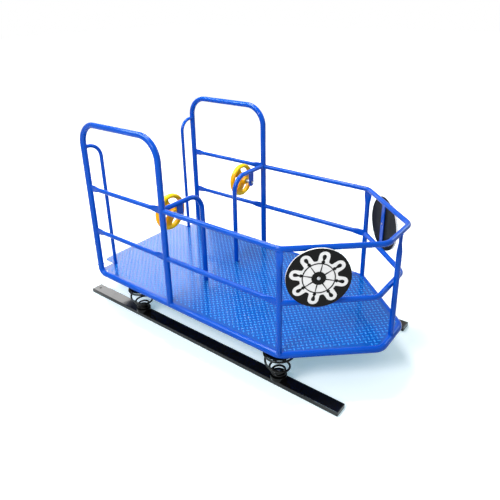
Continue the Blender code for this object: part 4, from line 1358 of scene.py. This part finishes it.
def add_spoke(shape, angle):
    """A wide flat bar that flares into the ring and rises to the hub."""
    rings = []
    for section in SPOKE_SECTIONS:
        reach = section["reach"]
        corners = []
        for step in range(SPOKE_CORNERS):
            turn_by = 2.0 * math.pi * step / SPOKE_CORNERS
            across = section["half_width"] * squarer(math.cos(turn_by), 0.5)
            height = section["level"] + section["half_depth"] * squarer(math.sin(turn_by), 0.7)
            corners.append(shape.verts.new((
                reach * math.cos(angle) - across * math.sin(angle),
                reach * math.sin(angle) + across * math.cos(angle),
                height,
            )))
        rings.append(corners)
    for inner, outer in zip(rings, rings[1:]):
        for step in range(SPOKE_CORNERS):
            after = (step + 1) % SPOKE_CORNERS
            shape.faces.new([inner[step], outer[step], outer[after], inner[after]])
    shape.faces.new(list(reversed(rings[-1])))
    shape.faces.new(rings[0])


print(f"a spoke is lofted through {len(SPOKE_SECTIONS)} sections")

# %% Grip, spokes and hub, about the wheel's axis
WHEEL_RING = 0.111
GRIP_RADIUS = 0.0155
GRIP_DEPTH = 0.02
GRIP_CORNERS = 20
SPOKE_ANGLES = (125.0, 245.0, 5.0)
HUB_REAR = 0.004
HUB_FRONT = 0.05
AXLE_CLEARANCE = 0.0005


def wheel_parts(name):
    """Grip ring, spokes and hub in one mesh, still as separate shells."""
    angles = [2.0 * math.pi * step / GRIP_CORNERS for step in range(GRIP_CORNERS)]
    grip = [
        (WHEEL_RING + GRIP_RADIUS * math.sin(a), GRIP_DEPTH * squarer(math.cos(a), 0.8))
        for a in angles
    ]
    ring = turned(name, grip, (0, 0, 0), UP, steps=96)
    hub_profile = [
        (0.0, HUB_FRONT),
        (0.024, HUB_FRONT),
        (0.0265, HUB_FRONT - 0.003),
        (0.033, HUB_REAR + 0.02),
        (0.034, HUB_REAR + 0.004),
        (0.031, HUB_REAR),
        (0.0, HUB_REAR),
    ]
    hub = turned(name + "_hub", hub_profile, (0, 0, 0), UP, closed=False)
    shape = bmesh.new()
    shape.from_mesh(ring.data)
    shape.from_mesh(hub.data)
    for degrees in SPOKE_ANGLES:
        add_spoke(shape, math.radians(degrees))
    bpy.data.objects.remove(hub)
    shape.to_mesh(ring.data)
    shape.free()
    return ring


print("wheel parts ready")

# %% Two moulded steering wheels
def apply_modifiers(thing):
    """Makes what the modifiers give the object's own mesh."""
    graph = bpy.context.evaluated_depsgraph_get()
    mesh = bpy.data.meshes.new_from_object(thing.evaluated_get(graph))
    thing.modifiers.clear()
    thing.data = mesh
    return thing


def moulded_wheel(name):
    """A steering wheel about its own axis: melted together, softened and bored."""
    wheel = wheel_parts(name)
    shape = bmesh.new()
    shape.from_mesh(wheel.data)
    bmesh.ops.recalc_face_normals(shape, faces=shape.faces)
    shape.to_mesh(wheel.data)
    shape.free()
    melt = wheel.modifiers.new("melt", "REMESH")
    melt.mode = "VOXEL"
    melt.voxel_size = 0.0018
    soften = wheel.modifiers.new("soften", "SMOOTH")
    soften.factor = 0.5
    soften.iterations = 8
    apply_modifiers(wheel)
    bore_radius = BOLT_RADIUS + AXLE_CLEARANCE
    ahead, behind = 0.08, -0.03
    bore_profile = [(0.0, ahead), (bore_radius, ahead), (bore_radius, behind), (0.0, behind)]
    bore = turned(name + "_bore", bore_profile, (0, 0, 0), UP, closed=False, steps=32)
    cut = wheel.modifiers.new("bore", "BOOLEAN")
    cut.operation = "DIFFERENCE"
    cut.solver = "EXACT"
    cut.object = bore
    apply_modifiers(wheel)
    bpy.data.objects.remove(bore)
    smooth_faces(wheel.data, 50.0)
    return wheel


for word, side in SIDES:
    wheel = moulded_wheel(f"steering_wheel_{word}_moulded")
    x, y, z = WHEEL_PLACE
    wheel.data.transform(Matrix.Translation(at(x, side * y, z)) @ facing((1, 0, 0)))
    settle(wheel, f"steering_wheel_{word}", YELLOW, f"steering_wheel_{word}")
print(f"steering wheel: {len(wheel.data.polygons)} faces")

# %% Axles, sleeves and nuts
SLEEVE_RADIUS = 0.0125
BRACKET_HALF = 0.004
AXLE_HEAD_RADIUS = 0.010
NUT_RADIUS = 0.011
NUT_HEIGHT = 0.010
THREAD_PAST_NUT = 0.004
AHEAD = Vector((1.0, 0.0, 0.0))

for word, side in SIDES:
    x, y, z = WHEEL_PLACE
    hub_front_x = x + HUB_FRONT
    bracket_rear, bracket_front = FRONT_POST_X - BRACKET_HALF, FRONT_POST_X + BRACKET_HALF
    length = bracket_rear - CLEARANCE - hub_front_x - CLEARANCE
    bore = BOLT_RADIUS + CLEARANCE
    sleeve_profile = rounded_profile([
        (bore, length),
        (SLEEVE_RADIUS, length),
        (SLEEVE_RADIUS, 0.0),
        (bore, 0.0),
    ], radius=0.0008)
    sleeve_rear = at(hub_front_x + CLEARANCE, side * y, z)
    sleeve = turned(f"wheel_sleeve_{word}_smooth", sleeve_profile, sleeve_rear, AHEAD)
    settle(sleeve, "deck", ZINC, f"wheel_sleeve_{word}")
    head_x = x + HUB_REAR - CLEARANCE
    end_x = bracket_front + CLEARANCE + NUT_HEIGHT + THREAD_PAST_NUT
    reach = end_x - head_x
    axle_profile = rounded_profile([
        (0.0, reach),
        (BOLT_RADIUS, reach),
        (BOLT_RADIUS, 0.0),
        (AXLE_HEAD_RADIUS, 0.0),
        (AXLE_HEAD_RADIUS, -HEAD_HEIGHT),
        (0.0, -HEAD_HEIGHT),
    ], radius=0.0015)
    head = at(head_x, side * y, z)
    axle = turned(f"wheel_axle_{word}_smooth", axle_profile, head, AHEAD, closed=False)
    settle(axle, "deck", ZINC, f"wheel_axle_{word}")
    nut_middle = at(bracket_front + CLEARANCE + NUT_HEIGHT / 2.0, side * y, z)
    nut = hexagon(f"wheel_nut_{word}_smooth", NUT_RADIUS, NUT_HEIGHT, nut_middle, AHEAD)
    settle(nut, "deck", ZINC, f"wheel_nut_{word}")
print("axles, sleeves and nuts made")

# %% [markdown]
# ## Routed panels
# A round panel hangs on each bow diagonal. It is cut from a plastic sheet with a white core
# between two black skins, and a router takes the front skin away to draw a ship's wheel in
# white. So it is built in the same layers: a plain back skin, a white core, and a front
# skin with openings. The openings are flat outlines, filled by a 2D curve and given the
# skin's thickness. The white line round its rim is simply the core's edge.

# %% Outlines of the ship's wheel
PANEL_RADIUS = 0.1835
PANEL_THICKNESS = 0.012
SKIN = 0.0016
FIGURE_TURN = math.radians(-12.0)
HANDLES = 8
HANDLE_STEP = 2.0 * math.pi / HANDLES
FIELD_INNER = 0.222 * PANEL_RADIUS
FIELD_OUTER = 0.482 * PANEL_RADIUS
HALF_SPOKE = 0.0016
SPOKE_FLARE = 2.2
ARC_STEPS = 8


def rounded_loop(corners, radii):
    """A closed flat outline with each corner rounded by an arc."""
    loop = []
    count = len(corners)
    for index in range(count):
        before = Vector(corners[index - 1])
        corner = Vector(corners[index])
        after = Vector(corners[(index + 1) % count])
        come, leave = (corner - before).normalized(), (after - corner).normalized()
        turn_by = come.angle(leave)
        reach = radii[index] * math.tan(turn_by / 2.0)
        start = corner - come * reach
        inward = (leave - come * leave.dot(come)).normalized()
        centre = start + inward * radii[index]
        for step in range(ARC_STEPS + 1):
            a = turn_by * step / ARC_STEPS
            out = centre - inward * radii[index] * math.cos(a)
            loop.append(tuple(out + come * radii[index] * math.sin(a)))
    return loop


def on_circle(radius, angle):
    """The point of a flat circle at an angle."""
    return (radius * math.cos(angle), radius * math.sin(angle))


def circle(radius, steps):
    """A closed flat outline with that many points."""
    return [on_circle(radius, 2.0 * math.pi * step / steps) for step in range(steps)]


def around(points, number):
    """Points (along, across) of one handle, in shares of the radius, turned to its place."""
    ahead = Vector(on_circle(PANEL_RADIUS, FIGURE_TURN + HANDLE_STEP * number))
    aside = Vector((-ahead.y, ahead.x))
    return [tuple(ahead * along + aside * across) for along, across in points]


def sector(number):
    """The white field between two spokes, the hub and the ring."""
    loop = []
    for radius, half_line, order in (
        (FIELD_INNER, HALF_SPOKE * SPOKE_FLARE, 1),
        (FIELD_OUTER, HALF_SPOKE, -1),
    ):
        low = math.asin(half_line / radius)
        high = HANDLE_STEP - low
        angles = [low + (high - low) * step / 10 for step in range(11)][::order]
        turn_by = FIGURE_TURN + HANDLE_STEP * number
        loop += [on_circle(radius, a + turn_by) for a in angles]
    return loop


print("outlines ready")

# %% The routed front skin
KNOB_HALF = 0.172
KNOB_ENDS = (0.56, 0.909)
KNOB_ROUNDING = (0.045, 0.170, 0.170, 0.045)
ISLAND_RING = 0.515
HANDLE_SHAPE = (
    (0.530, 0.042), (0.555, 0.056), (0.578, 0.048), (0.592, 0.026), (0.625, 0.027), (0.660, 0.040),
    (0.700, 0.055), (0.737, 0.060), (0.765, 0.053), (0.785, 0.036), (0.796, 0.014),
)


def white_outline():
    """The figure's white surround, with a round knob about each handle."""
    inner, outer = KNOB_ENDS
    knob = [(inner, -KNOB_HALF), (outer, -KNOB_HALF), (outer, KNOB_HALF), (inner, KNOB_HALF)]
    corners, radii = [], []
    for number in range(HANDLES):
        corners += around(knob, number)
        radii += [share * PANEL_RADIUS for share in KNOB_ROUNDING]
    return rounded_loop(corners, radii)


def black_island():
    """The ring with its eight turned handles."""
    root = math.asin(HANDLE_SHAPE[0][1] / ISLAND_RING)
    rising = [(along, -across) for along, across in HANDLE_SHAPE]
    falling = list(reversed(HANDLE_SHAPE))
    loop = []
    for number in range(HANDLES):
        loop += around(rising + falling, number)
        start = FIGURE_TURN + HANDLE_STEP * number + root
        finish = FIGURE_TURN + HANDLE_STEP * (number + 1) - root
        for step in range(9):
            angle = start + (finish - start) * step / 8
            loop.append(on_circle(ISLAND_RING * PANEL_RADIUS, angle))
    return loop


def flat_sheet(name, loops, low, high):
    """Closed outlines filled and thickened between two heights, as a merged mesh."""
    curve = bpy.data.curves.new(name, "CURVE")
    curve.dimensions = "2D"
    curve.fill_mode = "BOTH"
    curve.extrude = (high - low) / 2.0
    for loop in loops:
        spline = curve.splines.new("POLY")
        spline.points.add(len(loop) - 1)
        for point, (x, y) in zip(spline.points, loop):
            point.co = (x, y, 0.0, 1.0)
        spline.use_cyclic_u = True
    holder = link(name, curve)
    graph = bpy.context.evaluated_depsgraph_get()
    mesh = bpy.data.meshes.new_from_object(holder.evaluated_get(graph))
    bpy.data.objects.remove(holder)
    shape = bmesh.new()
    shape.from_mesh(mesh)
    bmesh.ops.remove_doubles(shape, verts=shape.verts, dist=0.00001)
    bmesh.ops.recalc_face_normals(shape, faces=shape.faces)
    shape.to_mesh(mesh)
    shape.free()
    mesh.transform(Matrix.Translation((0.0, 0.0, (low + high) / 2.0)))
    smooth_faces(mesh, 30.0)
    return link(name, mesh)


print("skin outlines ready")

# %% Hanging the panels
PANEL_ALONG = 0.2115
STRAP_THICKNESS = 0.006
SPACER_THICKNESS = 0.003
STRAP_OUTER = RAIL_RADIUS + CLEARANCE + STRAP_THICKNESS
PANEL_INNER = STRAP_OUTER + CLEARANCE + SPACER_THICKNESS + CLEARANCE
PANEL_OUTER = PANEL_INNER + PANEL_THICKNESS
SKIN_BEVEL = 0.0008
CORE_INSET = 0.0002


def panel_normal(side):
    """The outward direction of a bow diagonal."""
    return Vector((HALF_WIDTH - NOSE_HALF_WIDTH, side * (NOSE_X - BOW_X), 0.0)).normalized()


def panel_place(side, outward):
    """A point on a panel's axis, at a distance outside the rails' centre plane."""
    start = Vector((BOW_X, side * HALF_WIDTH, 0.0))
    along = Vector((NOSE_X, side * NOSE_HALF_WIDTH, 0.0)) - start
    spot = start + along.normalized() * PANEL_ALONG + panel_normal(side) * outward
    return at(spot.x, spot.y, (LOWER_BAR + UPPER_BAR) / 2)


for word, side in SIDES:
    stand = Matrix.Translation(panel_place(side, PANEL_INNER)) @ facing(panel_normal(side))
    body = f"bow_panel_{word}"
    bore = BOLT_RADIUS + AXLE_CLEARANCE
    front = PANEL_THICKNESS - SKIN
    back_profile = [
        (bore, SKIN),
        (PANEL_RADIUS, SKIN),
        (PANEL_RADIUS, SKIN_BEVEL),
        (PANEL_RADIUS - SKIN_BEVEL, 0.0),
        (bore, 0.0),
    ]
    back = turned(f"{body}_back_skin", back_profile, (0, 0, 0), UP, steps=128)
    core_edge = PANEL_RADIUS - CORE_INSET
    core_profile = [(bore, front), (core_edge, front), (core_edge, SKIN), (bore, SKIN)]
    core = turned(f"{body}_core", core_profile, (0, 0, 0), UP, steps=128)
    outlines = [circle(PANEL_RADIUS, 128), circle(bore, 24), white_outline(), black_island()]
    outlines += [sector(number) for number in range(HANDLES)]
    skin = flat_sheet(f"{body}_front_skin", outlines, front, PANEL_THICKNESS)
    for thing, finish in ((back, PANEL_BLACK), (core, PANEL_WHITE), (skin, PANEL_BLACK)):
        thing.data.transform(stand)
        settle(thing, body, finish)
    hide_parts(body)
print(f"front skin: {len(skin.data.polygons)} faces")

# %% Spacers and domed bolts
SPACER_RADIUS = 0.013
DOME_RADIUS = 0.011
DOME_HEIGHT = 0.005
SHANK_PAST_STRAP = 0.004

for word, side in SIDES:
    outwards = panel_normal(side)
    bore = BOLT_RADIUS + CLEARANCE
    spacer_profile = rounded_profile([
        (bore, SPACER_THICKNESS),
        (SPACER_RADIUS, SPACER_THICKNESS),
        (SPACER_RADIUS, 0.0),
        (bore, 0.0),
    ], radius=0.0005)
    on_strap = panel_place(side, STRAP_OUTER + CLEARANCE)
    spacer = turned(f"panel_spacer_{word}_smooth", spacer_profile, on_strap, outwards)
    settle(spacer, "deck", ZINC, f"panel_spacer_{word}")
    low = RAIL_RADIUS + CLEARANCE - SHANK_PAST_STRAP - PANEL_OUTER - CLEARANCE
    angles = [math.pi / 2 * step / 12 for step in range(13)]
    dome = [(DOME_RADIUS * math.sin(a), DOME_HEIGHT * math.cos(a)) for a in angles]
    dome += [(BOLT_RADIUS, 0.0), (BOLT_RADIUS, low), (0.0, low)]
    on_panel = panel_place(side, PANEL_OUTER + CLEARANCE)
    bolt = turned(f"panel_bolt_{word}_smooth", dome, on_panel, outwards, closed=False)
    settle(bolt, "deck", ZINC, f"panel_bolt_{word}")
print("panel fixings made")

# %% [markdown]
# ## Finishes on the CAD parts that stay
# Flat parts such as the ground rails, the deck plate, the beams under it, the wheel brackets
# and the panel straps already have the right shape. They keep their CAD mesh and only get
# the finishes made above.

# %% Dressing the CAD parts
KEPT = {
    "ground_rail": BLACK,
    "deck_plate": TREAD,
    "cross_beam": BLUE,
    "stringer": BLUE,
    "wheel_bracket": BLUE,
    "panel_strap": BLUE,
}
dressed = 0
for name, node in nodes.items():
    for start, finish in KEPT.items():
        if name.startswith(start):
            for slot in node.material_slots:
                slot.material = finish
            dressed += 1
print(f"{dressed} CAD parts dressed")

# %% [markdown]
# ## Studio
# The photograph is a catalogue picture on white: big soft lights and a floor that burns out
# to white but keeps a pale shadow. The floor is matt grey to the light that it throws back
# on the object. Where the camera or a reflection sees it, it is white, and a little light of
# its own lifts it further. Near the boat that light is weaker, so that the shadow stays, and
# bluer, which paints a blue shade into that shadow. The world is white to the camera and to
# reflections, and plainer to everything else, so that the object is lit at a level at which
# its colours come out as they were mixed.

# %% Floor and world
FLOOR_HALF = 30.0
FLOOR_LEVEL = -0.0006
GLOW_FADE = (1.2, 3.2)
GLOW_NEAR = 0.36
GLOW_GAIN = 0.2


def white_floor():
    """Matt, and lifted to white only for the rays that show it."""
    paint = Finish("studio_floor")
    path = paint.node("ShaderNodeLightPath", {}, {}, output="Is Camera Ray")
    seen = paint.sum("MINIMUM", path + path.out("Is Glossy Ray") + path.out("Is Transmission Ray"), 1.0)
    grain = paint.noise(4.0, 3.0)
    tone = paint.mix(grain, colour(0.54, 0.55, 0.55), colour(0.58, 0.59, 0.59))
    matt = paint.node("ShaderNodeBsdfDiffuse", {}, {"Color": tone})
    pale = paint.node("ShaderNodeBsdfDiffuse", {}, {"Color": colour(0.98, 0.98, 0.98)})
    away = paint.node("ShaderNodeVectorMath", {"operation": "LENGTH"}, {0: paint.place}, output="Value")
    far = paint.smooth(away, *GLOW_FADE)
    # Painted shade: near the boat the floor's own glow turns blue, which paints a blue shade into the
    # shadow there
    painted_shadow_tint = paint.mix(far, colour(0.55, 0.9, 1.0), colour(1.0, 1.0, 1.0))
    strength = GLOW_NEAR + far * GLOW_GAIN
    glow = paint.node("ShaderNodeEmission", {}, {"Color": painted_shadow_tint, "Strength": strength})
    lifted = paint.node("ShaderNodeAddShader", {}, {0: pale, 1: glow})
    surface = paint.node("ShaderNodeMixShader", {}, {0: seen, 1: matt, 2: lifted})
    paint.node("ShaderNodeOutputMaterial", {}, {"Surface": surface})
    return paint.material


floor_mesh = bpy.data.meshes.new("studio_floor")
floor_corners = [
    (x * FLOOR_HALF, y * FLOOR_HALF, FLOOR_LEVEL) for x, y in ((-1, -1), (1, -1), (1, 1), (-1, 1))
]
floor_mesh.from_pydata(floor_corners, [], [(0, 1, 2, 3)])
floor = link("studio_floor", floor_mesh)
floor_mesh.materials.append(white_floor())

world = bpy.data.worlds.new("studio")
bpy.context.scene.world = world
world.use_nodes = True
sky = Recipe(world.node_tree)
ray = sky.node("ShaderNodeLightPath", {}, {}, output="Is Camera Ray")
seen_directly = sky.sum("MINIMUM", ray + ray.out("Is Glossy Ray") + ray.out("Is Transmission Ray"), 1.0)
plain = sky.node("ShaderNodeBackground", {}, {"Color": colour(0.97, 0.985, 1.0), "Strength": 0.5})
white = sky.node("ShaderNodeBackground", {}, {"Color": colour(1.0, 1.0, 1.0), "Strength": 1.0})
blended = sky.node("ShaderNodeMixShader", {}, {0: seen_directly, 1: plain, 2: white})
sky.node("ShaderNodeOutputWorld", {}, {"Surface": blended})
print("floor and world ready")

# %% [markdown]
# ## Lamps
# Three soft boxes. One high over the deck draws the long highlights on top of the tubes. One
# high on the camera's side lights the faces of the posts and panels. The third stands low
# behind the stern, where the rear of the deck and the ends of the rails mirror it: that is
# why the deck pales towards the stern in the photograph. All are large, for soft shadows.
# Two bright cards are seen only in reflections, as in a product studio: one for the tubes
# that run along the boat and one for those that cross it. They draw the pale streaks on the
# paint and leave the colour itself alone. Both are a little blue, as those streaks are.

# %% Soft boxes
def soft_box(name, place, aim, size, power):
    """A flat rectangular lamp of a size in metres and a power in watts, turned to its aim."""
    lamp = bpy.data.lights.new(name, "AREA")
    lamp.shape = "RECTANGLE"
    lamp.size, lamp.size_y = size
    lamp.energy = power
    holder = bpy.data.objects.new(name, lamp)
    holder.location = place
    way = Vector(aim) - Vector(place)
    holder.rotation_euler = way.to_track_quat("-Z", "Y").to_euler()
    bpy.context.scene.collection.objects.link(holder)
    return holder


BOXES = (
    ("overhead_box", (-0.8, 0.6, 3.6), (0.0, 0.0, 0.4), (1.2, 1.0), 100.0),
    ("front_box", (0.3, -3.6, 3.4), (0.2, 0.0, 0.6), (1.4, 1.4), 130.0),
    ("stern_box", (-4.4, 2.5, 2.6), (-0.6, 0.0, 0.3), (2.6, 1.6), 66.0),
)
CARDS = (
    ("long_card", (-1.9, -1.6, 4.1), (-1.9, 0.2, 0.9), (4.0, 1.9), 500.0),
    ("cross_card", (2.1, 3.4, 2.7), (1.0, 0.0, 0.9), (1.5, 1.3), 50.0),
)
CARD_COLOUR = (0.62, 0.86, 1.0)
for name, place, aim, size, power in BOXES:
    soft_box(name, place, aim, size, power)
for name, place, aim, size, power in CARDS:
    card = soft_box(name, place, aim, size, power)
    card.data.color = CARD_COLOUR
    card.visible_diffuse = False
    card.visible_camera = False
bpy.context.scene.view_settings.view_transform = "Standard"
print(f"{len(BOXES)} soft boxes and {len(CARDS)} cards")
